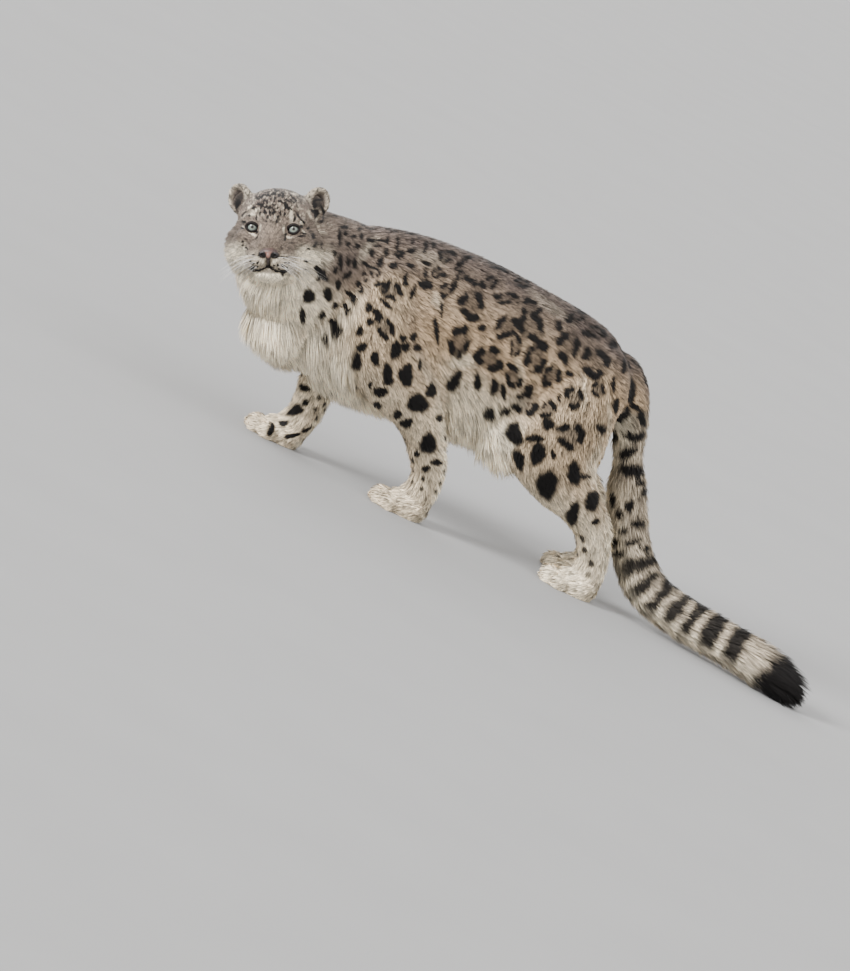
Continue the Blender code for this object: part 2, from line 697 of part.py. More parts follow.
def grow_locks(node, rays, lie_at, seed, length, width, rise, curl, reach):
    """Plants a lock wherever a ray from inside the node leaves it.

    rays are pairs of a start and a direction, and lie_at gives the way that the coat lies at a place.
    """
    rng = random.Random(seed)
    for start, way in rays:
        jitter = Vector([rng.uniform(-RAY_JITTER, RAY_JITTER) for _ in range(3)])
        size = 1.0 + rng.uniform(-SIZE_JITTER, SIZE_JITTER)
        stout = 1.0 + rng.uniform(-SIZE_JITTER, SIZE_JITTER)
        sway = rng.uniform(-LOCK_SWAY, LOCK_SWAY)
        way = (Vector(way).normalized() + jitter).normalized()
        hit, place, normal, _ = node.ray_cast(Vector(start), way, distance=reach)
        if hit and normal.dot(way) > LEAST_FACING:
            lock(place, normal, lie_at(place), length * size, width * stout, rise * size, curl, sway)


def fuse_locks(node, triangles):
    """One union of the node with every lock in the collection, which is then emptied."""
    locks = bpy.data.collections["locks"]
    join_up = node.modifiers.new("locks", "BOOLEAN")
    join_up.operation = "UNION"
    join_up.operand_type = "COLLECTION"
    join_up.collection = locks
    join_up.solver = "MANIFOLD"
    apply_modifiers(node)
    for obj in list(locks.objects):
        bpy.data.objects.remove(obj)
    keep_largest(node)
    thinned_clean(node, triangles)


def fan(row, step, spread):
    """Angles a step apart within the spread, even about zero. Every second row is shifted by half a step."""
    half = int(spread // step) + 1
    angles = [step * (k + row % 2 / 2) for k in range(-half, half + 1)]
    return [math.radians(angle) for angle in angles if abs(angle) <= spread]


def belly_rays():
    """Rays down and outwards from the trunk's middle line, staggered from row to row."""
    rays = []
    for row, (back, spread) in enumerate(BELLY_ROWS):
        middle = np.interp(back, [section[0] for section in TORSO], [section[1] for section in TORSO])
        for angle in fan(row, TRUNK_STEP, spread):
            rays.append(((0.0, back, middle), (math.sin(angle), 0.0, -math.cos(angle))))
    return rays


def chest_rays():
    """Rays forwards, up and down from the middle of the chest."""
    rays = []
    for row, (pitch, spread) in enumerate(CHEST_ROWS):
        up, level = math.sin(math.radians(pitch)), math.cos(math.radians(pitch))
        for turn in fan(row, TRUNK_STEP, spread):
            rays.append((CHEST_MIDDLE, (math.sin(turn) * level, -math.cos(turn) * level, up)))
    return rays


def ruff_rays():
    """Rays round the face from the middle of the head: down to the chin and out to the cheeks and ears."""
    rays = []
    for row, tier in enumerate(RUFF_TIERS):
        back, level = math.sin(math.radians(tier)), math.cos(math.radians(tier))
        for angle in fan(row, RUFF_STEP, RUFF_SPREAD):
            rays.append((RUFF_MIDDLE, (math.sin(angle) * level, back, -math.cos(angle) * level)))
    return rays


def tail_rays():
    """Rays out all round the tail's middle line, ring after ring."""
    rows = catmull_rom(TAIL, 8)[:, :3]
    rays = []
    for ring, share in enumerate(np.linspace(*TAIL_RINGS)):
        k = int(share * (len(rows) - 1))
        along = Vector(rows[k + 1] - rows[k]).normalized()
        wide = along.cross(Vector(TAIL_UPWARD)).normalized()
        deep = along.cross(wide)
        for spoke in range(TAIL_SPOKES):
            angle = 2 * math.pi * (spoke + ring % 2 / 2) / TAIL_SPOKES
            rays.append((tuple(rows[k]), tuple(wide * math.cos(angle) + deep * math.sin(angle))))
    return rays


def thigh_rays(name):
    """Rays back from a hind leg's middle line, a row outside and a row inside."""
    side = 1.0 if name.endswith("left") else -1.0
    rows = catmull_rom(LEGS[name], 2)[:, :3]
    rays = []
    for row, (left, back, up) in enumerate(THIGH_WAYS):
        for k in range(2 * THIGH_SECTIONS[0] + row, 2 * THIGH_SECTIONS[1], 2):
            rays.append((tuple(rows[k]), (side * left, back, up)))
    return rays


def constant_lie(way):
    """The same way of lying at every place."""
    return lambda place: Vector(way)


def tail_lie(place):
    """Along the tail, towards its tip."""
    rows = catmull_rom(TAIL, 8)[:, :3]
    nearest = int(np.argmin(np.linalg.norm(rows[:-1] - np.array(place), axis=1)))
    return Vector(rows[nearest + 1] - rows[nearest])


def ruff_lie(place):
    """Outwards, back and down, in the head's own frame."""
    return Vector((RUFF_FLARE * place.x, 0.60, -0.62))


def grow_coat(body):
    """The long coat of chest, belly, tail and thighs, as locks fused into the body."""
    trunk, thigh = constant_lie(TRUNK_LIE), constant_lie(THIGH_LIE)
    grow_locks(body, chest_rays(), trunk, LOCK_SEED, **LOCKS["chest"])
    grow_locks(body, belly_rays(), trunk, LOCK_SEED + 1, **LOCKS["belly"])
    grow_locks(body, tail_rays(), tail_lie, LOCK_SEED + 2, **LOCKS["tail"])
    grow_locks(body, thigh_rays("hind_left"), thigh, LOCK_SEED + 3, **LOCKS["thigh"])
    grow_locks(body, thigh_rays("hind_right"), thigh, LOCK_SEED + 4, **LOCKS["thigh"])
    fuse_locks(body, BODY_COAT_TRIANGLES)


def build():
    clear_scene()
    leopard = bpy.data.collections.new("snow_leopard")
    bpy.context.scene.collection.children.link(leopard)
    locks = bpy.data.collections.new("locks")
    bpy.context.scene.collection.children.link(locks)
    place = head_frame()
    body = body_clay()
    grow_coat(body)
    head = head_clay()
    grow_locks(head, ruff_rays(), ruff_lie, LOCK_SEED + 5, **LOCKS["ruff"])
    fuse_locks(head, HEAD_COAT_TRIANGLES)
    carve_face(head)
    ears = []
    for side, name in ((1, "ear_left"), (-1, "ear_right")):
        centre = (side * EAR_REGION_PLACE[0], *EAR_REGION_PLACE[1:])
        region = ellipsoid("region", centre, EAR_REGION_SIZE, fineness=2)
        ears.append(split_shape(head, name, region))
    for obj in (head, *ears):
        obj.data.transform(place)
    for one_ear in ears:
        carve(body, [swollen(one_ear, "room", SHAPED_GAP)])
    boolean(body, head, "UNION")
    bpy.data.objects.remove(head)
    trim(body, (0.0, 0.0, 0.0), (0.0, 0.0, 1.0))
    for name in LEGS:
        leg = split_shape(body, "leg_" + name + "_upper", leg_cutter(name))
        trim(leg, (0.0, 0.0, WRIST_HEIGHT), (0.0, 0.0, 1.0))
        split(leg, "leg_" + name + "_lower", (0.0, 0.0, KNEE_HEIGHTS[name]), (0.0, 0.0, -1.0))
        paw(name, *PAWS[name])
    split(body, "head", *NECK_TOP_CUT)
    split(body, "neck", *NECK_BASE_CUT)
    tail = split(body, "tail_base", *TAIL_ROOT_CUT)
    upper = split(tail, "tail_upper", *TAIL_UPPER_CUT)
    lower = split(upper, "tail_lower", *TAIL_LOWER_CUT)
    split(lower, "tail_tip", *TAIL_TIP_CUT)
    coat = material("coat", **COAT)
    wet = material("eye", **EYE)
    for name, side in (("eye_left", 1), ("eye_right", -1)):
        eyeball(name, (side * EYE_PLACE[0], *EYE_PLACE[1:]), EYE_RADIUS).data.transform(place)
    for obj in leopard.objects:
        obj.data.transform(Matrix.Translation((-BOX_CENTRE[0], -BOX_CENTRE[1], 0.0)))
        obj.data.materials.clear()
        obj.data.materials.append(wet if obj.name.startswith("eye") else coat)


build()
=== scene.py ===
"""A life-size snow leopard standing still, dressed over its CAD frame with skin, coat, eyes and nose.

The skin repeats the clay forms of the solids, then draws in by the depth of the coat. Hundreds of
thousands of flat tapered tufts grow from it along the lie of the coat. The markings are a field of
spots and rings on the skin, and both skin and tufts read it. Units are metres.
"""
import math

import bpy
import numpy as np
from mathutils import Euler, Matrix, Vector
from mathutils.bvhtree import BVHTree


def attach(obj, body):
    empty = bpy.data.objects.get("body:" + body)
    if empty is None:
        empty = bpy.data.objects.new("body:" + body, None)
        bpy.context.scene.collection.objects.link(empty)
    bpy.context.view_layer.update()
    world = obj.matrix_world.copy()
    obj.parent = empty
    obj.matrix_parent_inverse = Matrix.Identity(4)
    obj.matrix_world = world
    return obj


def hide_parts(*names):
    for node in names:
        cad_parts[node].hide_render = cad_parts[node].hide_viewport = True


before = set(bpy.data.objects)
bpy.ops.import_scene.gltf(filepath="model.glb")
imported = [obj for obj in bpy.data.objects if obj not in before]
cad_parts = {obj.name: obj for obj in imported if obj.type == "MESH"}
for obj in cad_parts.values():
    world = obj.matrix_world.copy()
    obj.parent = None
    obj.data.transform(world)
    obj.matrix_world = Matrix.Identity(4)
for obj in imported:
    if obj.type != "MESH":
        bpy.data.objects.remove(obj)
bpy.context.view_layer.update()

# The forms below are written about a point on the floor that lies here from the middle of the box
PLACE = np.array((-0.065, -0.060, 0.0))

# Camera: azimuth, elevation and roll in degrees, pixels for each metre, and the point it frames
AZIMUTH, ELEVATION, ROLL = 72.0, 9.0, 28.0
PIXELS_A_METRE = 433.0
CAMERA_DISTANCE = 14.0
PHOTO_SIZE = (850, 971)
KEY_POINT, KEY_PIXEL = np.array((0.025, -0.180, 0.037)), (410.0, 500.0)

# Voxels and smoothing of the clay
BODY_VOXEL, BODY_SMOOTHING = 0.0068, 17
SKULL_VOXEL, SKULL_SMOOTHING = 0.0045, 10
HEAD_VOXEL, HEAD_SMOOTHING = 0.0027, 6
PAW_VOXEL, PAW_SMOOTHING = 0.0032, 5

HEAD_PLACE = (0.0755, -0.6995, 0.469)
HEAD_TURN, HEAD_TILT, HEAD_NOD = 71.3, -25.4, -7.6
EYE_RADIUS = 0.0165
EYE_PLACE = (0.0470, -0.0735, 0.0)
LID_THICKNESS = 0.0024
EYE_OPENING = (0.0140, 0.0160, 0.0108)
EYE_SLANT = 8.0
NOSE_PLACE = (0.0, -0.1390, -0.0600)
NOSTRIL_PLACE = (0.0145, -0.1500, -0.0635)
MOUTH_HALF = (
    (0.0, -0.1400, -0.0885),
    (0.0150, -0.1390, -0.0965),
    (0.0310, -0.1270, -0.0990),
    (0.0450, -0.0970, -0.0950),
)
EAR_PLACE = (0.0865, 0.012, 0.064)
EAR_SIZE = (0.0285, 0.0180, 0.0385)
EAR_LEAN = (-12.0, 26.0, 22.0)
EAR_CUP_PLACE = (0.0, -0.0153, -0.002)
EAR_CUP_SIZE = (0.0205, 0.0207, 0.0293)

# Sections along the torso: (back, middle height, half height, half width)
TORSO = (
    (-0.615, 0.330, 0.060, 0.055),
    (-0.580, 0.345, 0.115, 0.090),
    (-0.520, 0.362, 0.163, 0.117),
    (-0.440, 0.378, 0.190, 0.134),
    (-0.320, 0.396, 0.202, 0.141),
    (-0.200, 0.409, 0.199, 0.142),
    (-0.080, 0.414, 0.193, 0.139),
    (0.020, 0.423, 0.180, 0.136),
    (0.110, 0.434, 0.160, 0.130),
    (0.180, 0.440, 0.132, 0.108),
    (0.225, 0.445, 0.090, 0.075),
    (0.245, 0.447, 0.040, 0.035),
)

# Sections along the neck and down the legs: (left, back, height, half width, half depth)
NECK = (
    (0.000, -0.400, 0.400, 0.100, 0.130),
    (0.005, -0.500, 0.405, 0.118, 0.152),
    (0.025, -0.585, 0.415, 0.118, 0.140),
    (0.050, -0.650, 0.432, 0.110, 0.120),
    (0.068, -0.700, 0.455, 0.080, 0.085),
)
LEG_FRONT_LEFT = (
    (0.070, -0.400, 0.520, 0.034, 0.055),
    (0.092, -0.405, 0.430, 0.060, 0.095),
    (0.106, -0.380, 0.350, 0.066, 0.100),
    (0.114, -0.300, 0.285, 0.062, 0.084),
    (0.112, -0.222, 0.240, 0.054, 0.064),
    (0.106, -0.162, 0.185, 0.047, 0.050),
    (0.100, -0.122, 0.130, 0.043, 0.043),
    (0.097, -0.110, 0.085, 0.041, 0.041),
    (0.096, -0.114, 0.045, 0.040, 0.044),
    (0.096, -0.122, 0.000, 0.034, 0.040),
)
LEG_FRONT_RIGHT = (
    (-0.070, -0.420, 0.520, 0.034, 0.055),
    (-0.092, -0.430, 0.430, 0.060, 0.095),
    (-0.106, -0.440, 0.350, 0.066, 0.098),
    (-0.112, -0.420, 0.285, 0.060, 0.080),
    (-0.108, -0.400, 0.230, 0.052, 0.062),
    (-0.100, -0.392, 0.175, 0.045, 0.048),
    (-0.094, -0.388, 0.120, 0.042, 0.044),
    (-0.092, -0.390, 0.080, 0.041, 0.042),
    (-0.092, -0.400, 0.045, 0.040, 0.044),
    (-0.092, -0.412, 0.000, 0.034, 0.040),
)
LEG_HIND_LEFT = (
    (0.062, 0.135, 0.510, 0.040, 0.060),
    (0.088, 0.120, 0.430, 0.060, 0.108),
    (0.102, 0.112, 0.350, 0.066, 0.124),
    (0.108, 0.130, 0.288, 0.062, 0.116),
    (0.107, 0.182, 0.236, 0.052, 0.084),
    (0.102, 0.246, 0.200, 0.043, 0.058),
    (0.098, 0.302, 0.162, 0.039, 0.048),
    (0.096, 0.332, 0.118, 0.037, 0.042),
    (0.095, 0.344, 0.080, 0.037, 0.041),
    (0.095, 0.346, 0.042, 0.038, 0.044),
    (0.095, 0.340, 0.000, 0.034, 0.042),
)
HIND_RIGHT_SHIFT = 0.055
TAIL_CORE = 0.62

# The tail's middle line and the radius that its coat reaches: (left, back, height, radius)
TAIL = (
    (0.000, 0.130, 0.500, 0.050),
    (0.004, 0.215, 0.498, 0.056),
    (0.010, 0.275, 0.432, 0.056),
    (0.016, 0.322, 0.345, 0.055),
    (0.024, 0.372, 0.245, 0.055),
    (0.040, 0.430, 0.150, 0.057),
    (0.068, 0.500, 0.085, 0.059),
    (0.108, 0.585, 0.062, 0.060),
    (0.158, 0.680, 0.060, 0.060),
    (0.205, 0.765, 0.058, 0.057),
    (0.228, 0.812, 0.050, 0.046),
    (0.238, 0.834, 0.042, 0.030),
)

# Paws: (left, back, turn in degrees) of the palm's middle, and their toes: (across, forward, size)
PAWS = {
    "front_left": (0.097, -0.128, -4.0),
    "front_right": (-0.092, -0.418, 4.0),
    "hind_left": (0.096, 0.330, -4.0),
    "hind_right": (-0.096, 0.385, 4.0),
}
PAW_RADII = (0.048, 0.056, 0.040)
TOES = ((-0.035, -0.040, 0.90), (-0.0125, -0.056, 1.0), (0.0125, -0.056, 1.0), (0.035, -0.040, 0.90))
TOE_RADII = (0.0175, 0.029, 0.024)


def catmull_rom(rows, steps):
    """The rows of numbers read along a Catmull-Rom curve, with steps points for each span."""
    rows = np.asarray(rows, float)
    padded = np.vstack([2 * rows[0] - rows[1], rows, 2 * rows[-1] - rows[-2]])
    t = np.linspace(0.0, 1.0, steps, endpoint=False)[:, None]
    spans = []
    for a, b, c, d in zip(padded, padded[1:], padded[2:], padded[3:]):
        square = 2 * a - 5 * b + 4 * c - d
        cube = 3 * b - a - 3 * c + d
        spans.append(0.5 * (2 * b + (c - a) * t + square * t**2 + cube * t**3))
    return np.vstack([*spans, rows[-1:]])


def unit(vectors):
    """Each vector divided by its length."""
    return vectors / np.maximum(np.linalg.norm(vectors, axis=-1, keepdims=True), 1e-9)


def smoothstep(low, high, x):
    """0 below low, 1 above high, and t * t * (3 - 2 t) between them. Low may be the greater."""
    t = np.clip((x - low) / (high - low), 0.0, 1.0)
    return t * t * (3.0 - 2.0 * t)


def closed(grid):
    """Points and triangles of a closed surface: a grid of rings, with a fan from each end's middle."""
    rows, spokes = grid.shape[:2]
    k = np.arange(spokes)
    after = (k + 1) % spokes
    start = spokes * np.arange(rows - 1)[:, None]
    a, b = start + k, start + after
    halves = [np.stack([a, b, b + spokes], -1), np.stack([a, b + spokes, a + spokes], -1)]
    last = spokes * (rows - 1)
    near = np.stack([np.full(spokes, rows * spokes), after, k], -1)
    far = np.stack([np.full(spokes, rows * spokes + 1), last + k, last + after], -1)
    points = np.vstack([grid.reshape(-1, 3), grid[0].mean(0), grid[-1].mean(0)])
    return points, np.vstack([*[half.reshape(-1, 3) for half in halves], near, far])


def loft(centres, widths, depths, side=(1.0, 0.0, 0.0), spokes=24):
    """Elliptic rings across a line: centre + side * width * cos(turn) + across both * depth * sin(turn)."""
    along = unit(np.gradient(centres, axis=0))
    side = np.asarray(side, float)
    wide = unit(side - along * (along @ side)[:, None])
    deep = np.cross(along, wide)
    turn = np.linspace(0.0, 2 * np.pi, spokes, endpoint=False)
    ring = wide[:, None] * (widths[:, None] * np.cos(turn))[..., None]
    ring = ring + deep[:, None] * (depths[:, None] * np.sin(turn))[..., None]
    return closed(centres[:, None] + ring)


def turned(degrees):
    """The rotation by degrees about X, Y and Z, as an array."""
    return np.array(Euler([math.radians(v) for v in degrees]).to_matrix())


def ellipsoid(centre, radii, turn=(0.0, 0.0, 0.0), spokes=32):
    """The unit sphere (sin down cos round, sin down sin round, cos down), stretched, turned and moved."""
    down = np.linspace(np.pi, 0.0, spokes // 2 + 1)[1:-1, None]
    round_ = np.linspace(0.0, 2 * np.pi, spokes, endpoint=False)
    grid = np.stack([np.sin(down) * np.cos(round_), np.sin(down) * np.sin(round_), np.cos(down) + 0 * round_], -1)
    return closed((grid * radii) @ turned(turn).T + centre)


def both_sides(centre, radii, turn=(0.0, 0.0, 0.0)):
    """An ellipsoid and its mirror image across the head's middle."""
    mirror = np.array((-1.0, 1.0, 1.0))
    left = ellipsoid(centre, radii, turn)
    return [left, ellipsoid(centre * mirror, radii, (turn[0], -turn[1], -turn[2]))]


def limb(sections, spokes=24):
    """A loft from rows of (left, back, height, half width, half depth)."""
    rows = catmull_rom(sections, 4)
    return loft(rows[:, :3] + PLACE, rows[:, 3], rows[:, 4], spokes=spokes)


def middle_loft(rows):
    """A loft along the head's middle plane, from rows of (back, height, half width, half height)."""
    rows = catmull_rom(rows, 4)
    centres = np.column_stack([np.zeros(len(rows)), rows[:, 0], rows[:, 1]])
    return loft(centres, rows[:, 2], rows[:, 3], spokes=28)


def new_mesh(name, points, triangles):
    """A mesh from arrays of points and triangles, shaded smooth."""
    mesh = bpy.data.meshes.new(name)
    mesh.vertices.add(len(points))
    mesh.vertices.foreach_set("co", np.asarray(points, np.float32).ravel())
    mesh.loops.add(triangles.size)
    mesh.loops.foreach_set("vertex_index", triangles.ravel().astype(np.int32))
    mesh.polygons.add(len(triangles))
    mesh.polygons.foreach_set("loop_start", np.arange(0, triangles.size, 3, dtype=np.int32))
    mesh.update(calc_edges=True)
    mesh.shade_smooth()
    return mesh


def new_object(name, mesh):
    obj = bpy.data.objects.new(name, mesh)
    bpy.context.scene.collection.objects.link(obj)
    return obj


def merged(forms):
    """The points and triangles of several forms as one pair of arrays."""
    starts = np.cumsum([0, *[len(points) for points, _ in forms]])
    triangles = [tri + start for (_, tri), start in zip(forms, starts)]
    return np.vstack([points for points, _ in forms]), np.vstack(triangles)


def apply_modifiers(obj):
    graph = bpy.context.evaluated_depsgraph_get()
    mesh = bpy.data.meshes.new_from_object(obj.evaluated_get(graph))
    obj.modifiers.clear()
    obj.data = mesh


def fused(name, forms, voxel, smoothing):
    """Clay forms made one closed surface by a voxel remesh, then smoothed."""
    clay = new_object(name, new_mesh(name, *merged(forms)))
    remesh = clay.modifiers.new("remesh", "REMESH")
    remesh.mode = "VOXEL"
    remesh.voxel_size = voxel
    smooth = clay.modifiers.new("smooth", "SMOOTH")
    smooth.factor = 0.5
    smooth.iterations = smoothing
    apply_modifiers(clay)
    return clay


def boolean(obj, other, operation):
    """Applies a Boolean with other, which is then removed."""
    cut = obj.modifiers.new("cut", "BOOLEAN")
    cut.operation = operation
    cut.object = other
    cut.solver = "MANIFOLD"
    apply_modifiers(obj)
    bpy.data.objects.remove(other)


def points_of(mesh):
    points = np.empty(len(mesh.vertices) * 3, np.float32)
    mesh.vertices.foreach_get("co", points)
    return points.reshape(-1, 3).astype(float)


def normals_of(mesh):
    normals = np.empty(len(mesh.vertices) * 3, np.float32)
    mesh.vertex_normals.foreach_get("vector", normals)
    return normals.reshape(-1, 3).astype(float)


def triangles_of(mesh):
    mesh.calc_loop_triangles()
    corners = np.empty(len(mesh.loop_triangles) * 3, np.int32)
    mesh.loop_triangles.foreach_get("vertices", corners)
    return corners.reshape(-1, 3)


def form_of(obj):
    """The points and triangles of an object, which is then removed."""
    form = points_of(obj.data), triangles_of(obj.data)
    bpy.data.objects.remove(obj)
    return form


# The skin

def mirrored(sections):
    return tuple((-row[0], *row[1:]) for row in sections)


def moved(sections, back):
    """Sections moved back by an amount that grows from nothing at the first to all of it half way down."""
    share = [min(1.0, 2.0 * k / (len(sections) - 1)) for k in range(len(sections))]
    return tuple((row[0], row[1] + back * s, *row[2:]) for row, s in zip(sections, share))


LEGS = {
    "front_left": LEG_FRONT_LEFT,
    "front_right": LEG_FRONT_RIGHT,
    "hind_left": LEG_HIND_LEFT,
    "hind_right": moved(mirrored(LEG_HIND_LEFT), HIND_RIGHT_SHIFT),
}


def body_clay():
    """Trunk, neck, legs and tail, with the deep chest, the rump, the hams and the fold of skin at the knee."""
    rows = catmull_rom(TORSO, 4)
    centres = np.column_stack([np.zeros(len(rows)), rows[:, 0], rows[:, 1]]) + PLACE
    forms = [loft(centres, rows[:, 3], rows[:, 2], spokes=40), limb(NECK, 32)]
    rows = catmull_rom(TAIL, 4)
    core = np.interp(np.linspace(0.0, 1.0, len(rows)), (0.15, 0.30), (1.0, TAIL_CORE)) * rows[:, 3]
    forms.append(loft(rows[:, :3] + PLACE, core, core))
    forms += [limb(sections) for sections in LEGS.values()]
    forms.append(ellipsoid(PLACE + (0.000, -0.538, 0.312), (0.096, 0.100, 0.116)))
    forms.append(ellipsoid(PLACE + (0.015, -0.562, 0.288), (0.086, 0.091, 0.080)))
    forms.append(ellipsoid(PLACE + (0.026, -0.598, 0.345), (0.074, 0.086, 0.078)))
    for left in (1, -1):
        forms.append(ellipsoid(PLACE + (0.060 * left, 0.140, 0.440), (0.075, 0.100, 0.125)))
        forms.append(ellipsoid(PLACE + (0.078 * left, 0.020, 0.310), (0.048, 0.085, 0.100)))
        forms.append(ellipsoid(PLACE + (0.082 * left, 0.182, 0.375), (0.048, 0.050, 0.112), (25.0, 0.0, 0.0)))
    return fused("body", forms, BODY_VOXEL, BODY_SMOOTHING)


def paw_clay(name):
    """A broad paw with four rounded toes, from the floor up to the wrist."""
    left, back, turn = PAWS[name]
    forms = [ellipsoid((0.0, 0.004, 0.026), PAW_RADII)]
    for across, forward, size in TOES:
        radii = [r * size for r in TOE_RADII]
        forms.append(ellipsoid((across, forward, 0.019), radii, (0.0, 0.0, across * 450)))
    spin = turned((0.0, 0.0, turn)).T
    forms = [(points @ spin + (left, back, 0.0) + PLACE, tri) for points, tri in forms]
    forms.append(limb(LEGS[name][-5:]))
    return fused(name, forms, PAW_VOXEL, PAW_SMOOTHING)


def ear_clay(side):
    """A short round ear: an egg hollowed from the front, leaning out from the head."""
    shell = new_object("ear", new_mesh("ear", *ellipsoid((0.0, 0.0, 0.0), EAR_SIZE)))
    cup = new_object("cup", new_mesh("cup", *ellipsoid(EAR_CUP_PLACE, EAR_CUP_SIZE)))
    boolean(shell, cup, "DIFFERENCE")
    points, tri = form_of(shell)
    pitch, lean, turn = EAR_LEAN
    points = points @ turned((pitch, lean * side, turn * side)).T + (EAR_PLACE[0] * side, *EAR_PLACE[1:])
    return points, tri


def head_clay():
    """The head in its own frame, where -Y is the way the face looks and the eyes are at Z = 0."""
    forms = [
        ellipsoid((0.0, 0.004, 0.016), (0.090, 0.098, 0.079)),
        ellipsoid((0.0, -0.046, 0.020), (0.074, 0.046, 0.056)),
        ellipsoid((0.0, -0.045, -0.078), (0.064, 0.074, 0.040)),
    ]
    forms += both_sides((0.058, -0.008, -0.040), (0.049, 0.064, 0.058))
    forms += both_sides((0.048, -0.058, -0.030), (0.042, 0.034, 0.034), (0.0, 0.0, 25.0))
    forms += both_sides((0.070, 0.014, 0.050), (0.032, 0.026, 0.034), (0.0, 40.0, 0.0))
    muzzle = (
        (-0.030, -0.050, 0.068, 0.058),
        (-0.072, -0.056, 0.061, 0.054),
        (-0.102, -0.066, 0.052, 0.046),
        (-0.124, -0.073, 0.042, 0.036),
        (-0.137, -0.076, 0.027, 0.022),
    )
    bridge = (
        (-0.056, 0.028, 0.038, 0.028),
        (-0.080, 0.006, 0.032, 0.024),
        (-0.105, -0.020, 0.029, 0.020),
        (-0.128, -0.042, 0.027, 0.015),
        (-0.138, -0.053, 0.022, 0.010),
    )
    forms += [middle_loft(muzzle), middle_loft(bridge)]
    forms = [form_of(fused("skull", forms, SKULL_VOXEL, SKULL_SMOOTHING))]
    forms.append(ellipsoid(NOSE_PLACE, (0.0225, 0.0150, 0.0140), (28.0, 0.0, 0.0)))
    forms.append(ellipsoid((0.0, -0.1080, -0.1050), (0.0340, 0.0320, 0.0200)))
    forms += both_sides((0.0260, -0.1180, -0.0790), (0.0320, 0.0320, 0.0225), (0.0, 0.0, 14.0))
    forms += both_sides((0.0450, -0.0670, 0.0190), (0.0310, 0.0185, 0.0115), (0.0, 14.0, 12.0))
    forms += both_sides(EYE_PLACE, [EYE_RADIUS + LID_THICKNESS] * 3)
    forms += [ear_clay(1), ear_clay(-1)]
    return fused("head", forms, HEAD_VOXEL, HEAD_SMOOTHING)


head_turn = Euler([math.radians(v) for v in (HEAD_NOD, HEAD_TILT, HEAD_TURN)], "XYZ").to_matrix()
HEAD_AXES = np.array(head_turn)
HEAD_ORIGIN = np.array(HEAD_PLACE) + PLACE


def to_head(points):
    """Points of the whole frame in the head's own frame."""
    return (points - HEAD_ORIGIN) @ HEAD_AXES


def from_head(points):
    return np.asarray(points, float) @ HEAD_AXES.T + HEAD_ORIGIN


def make_skin():
    """One closed surface of body, head and paws, flat under the soles, with sockets and open lids."""
    skin = body_clay()
    for name in PAWS:
        boolean(skin, paw_clay(name), "UNION")
    head = head_clay()
    for x in (EYE_PLACE[0], -EYE_PLACE[0]):
        place = (x, *EYE_PLACE[1:])
        slant = math.copysign(EYE_SLANT, x)
        front = (x, EYE_PLACE[1] - EYE_RADIUS, 0.0)
        for form in (ellipsoid(place, [EYE_RADIUS] * 3, spokes=48), ellipsoid(front, EYE_OPENING, (0.0, -slant, 0.0))):
            boolean(head, new_object("cutter", new_mesh("cutter", *form)), "DIFFERENCE")
    points, tri = form_of(head)
    boolean(skin, new_object("head", new_mesh("head", from_head(points), tri)), "UNION")
    block = closed(np.array([[(x, y, z) for x, y in ((-2, -2), (2, -2), (2, 2), (-2, 2))] for z in (-1.0, 0.0)], float))
    boolean(skin, new_object("floor_cut", new_mesh("floor_cut", *block)), "DIFFERENCE")
    return skin


# Fields on the skin: which part a place belongs to, how the coat lies there and how long it is

def axis_rows(sections, steps=4):
    """Points of a limb's middle line with the mean radius of its sections."""
    rows = catmull_rom(sections, steps)
    return rows[:, :3] + PLACE, np.sqrt(rows[:, 3] * rows[:, -1])


def trunk_rows():
    rows = catmull_rom(TORSO, 4)
    return np.column_stack([0 * rows[:, 0], rows[:, 0], rows[:, 1]]) + PLACE, np.sqrt(rows[:, 2] * rows[:, 3])


PARTS = ("trunk", "neck", "front_left", "front_right", "hind_left", "hind_right", "tail", "head")
AXES = {"trunk": trunk_rows(), "neck": axis_rows(NECK), "tail": axis_rows(TAIL[2:])}
AXES.update({name: axis_rows(sections[1:]) for name, sections in LEGS.items()})
HEAD_EGG = ((0.0, -0.022, -0.012), (0.125, 0.128, 0.118))
BLEND_SHARPNESS = 9.0
FLOOR_PENALTY = 4.0


def along_axis(points, name):
    """For each point, its distance from a limb's middle line in radii, the share along it and the way."""
    line, radius = AXES[name]
    off = ((points[:, None] - line) ** 2).sum(-1) / radius**2
    nearest = off.argmin(1)
    way = unit(np.gradient(line, axis=0))
    step = ((points - line[nearest]) * way[nearest]).sum(-1)
    lengths = np.append(0.0, np.cumsum(np.linalg.norm(np.diff(line, axis=0), axis=1)))
    share = np.clip((lengths[nearest] + step) / lengths[-1], 0.0, 1.0)
    return np.sqrt(off[np.arange(len(points)), nearest]), share, way[nearest]


def part_weights(points):
    """Soft shares of every part at each point, from exp(-sharpness * squared distance in radii)."""
    reach = []
    shares = {}
    ways = {}
    near_floor = FLOOR_PENALTY * smoothstep(0.17, 0.08, points[:, 2])
    for name in PARTS[:-1]:
        off, shares[name], ways[name] = along_axis(points, name)
        reach.append(off + near_floor if name in ("trunk", "neck") else off)
    reach.append(np.linalg.norm((to_head(points) - HEAD_EGG[0]) / HEAD_EGG[1], axis=1) + near_floor)
    reach = np.stack(reach, 1) ** 2
    weight = np.exp(-BLEND_SHARPNESS * (reach - reach.min(1, keepdims=True)))
    weight /= weight.sum(1, keepdims=True)
    return {name: weight[:, k] for k, name in enumerate(PARTS)}, shares, ways


def lattice(cells, seed):
    """A random number from 0 to 1 for each whole-numbered cell, by the sine hash."""
    mixed = np.sin(cells @ np.array((127.1, 311.7, 74.7)) + seed * 17.3) * 43758.5453
    return mixed - np.floor(mixed)


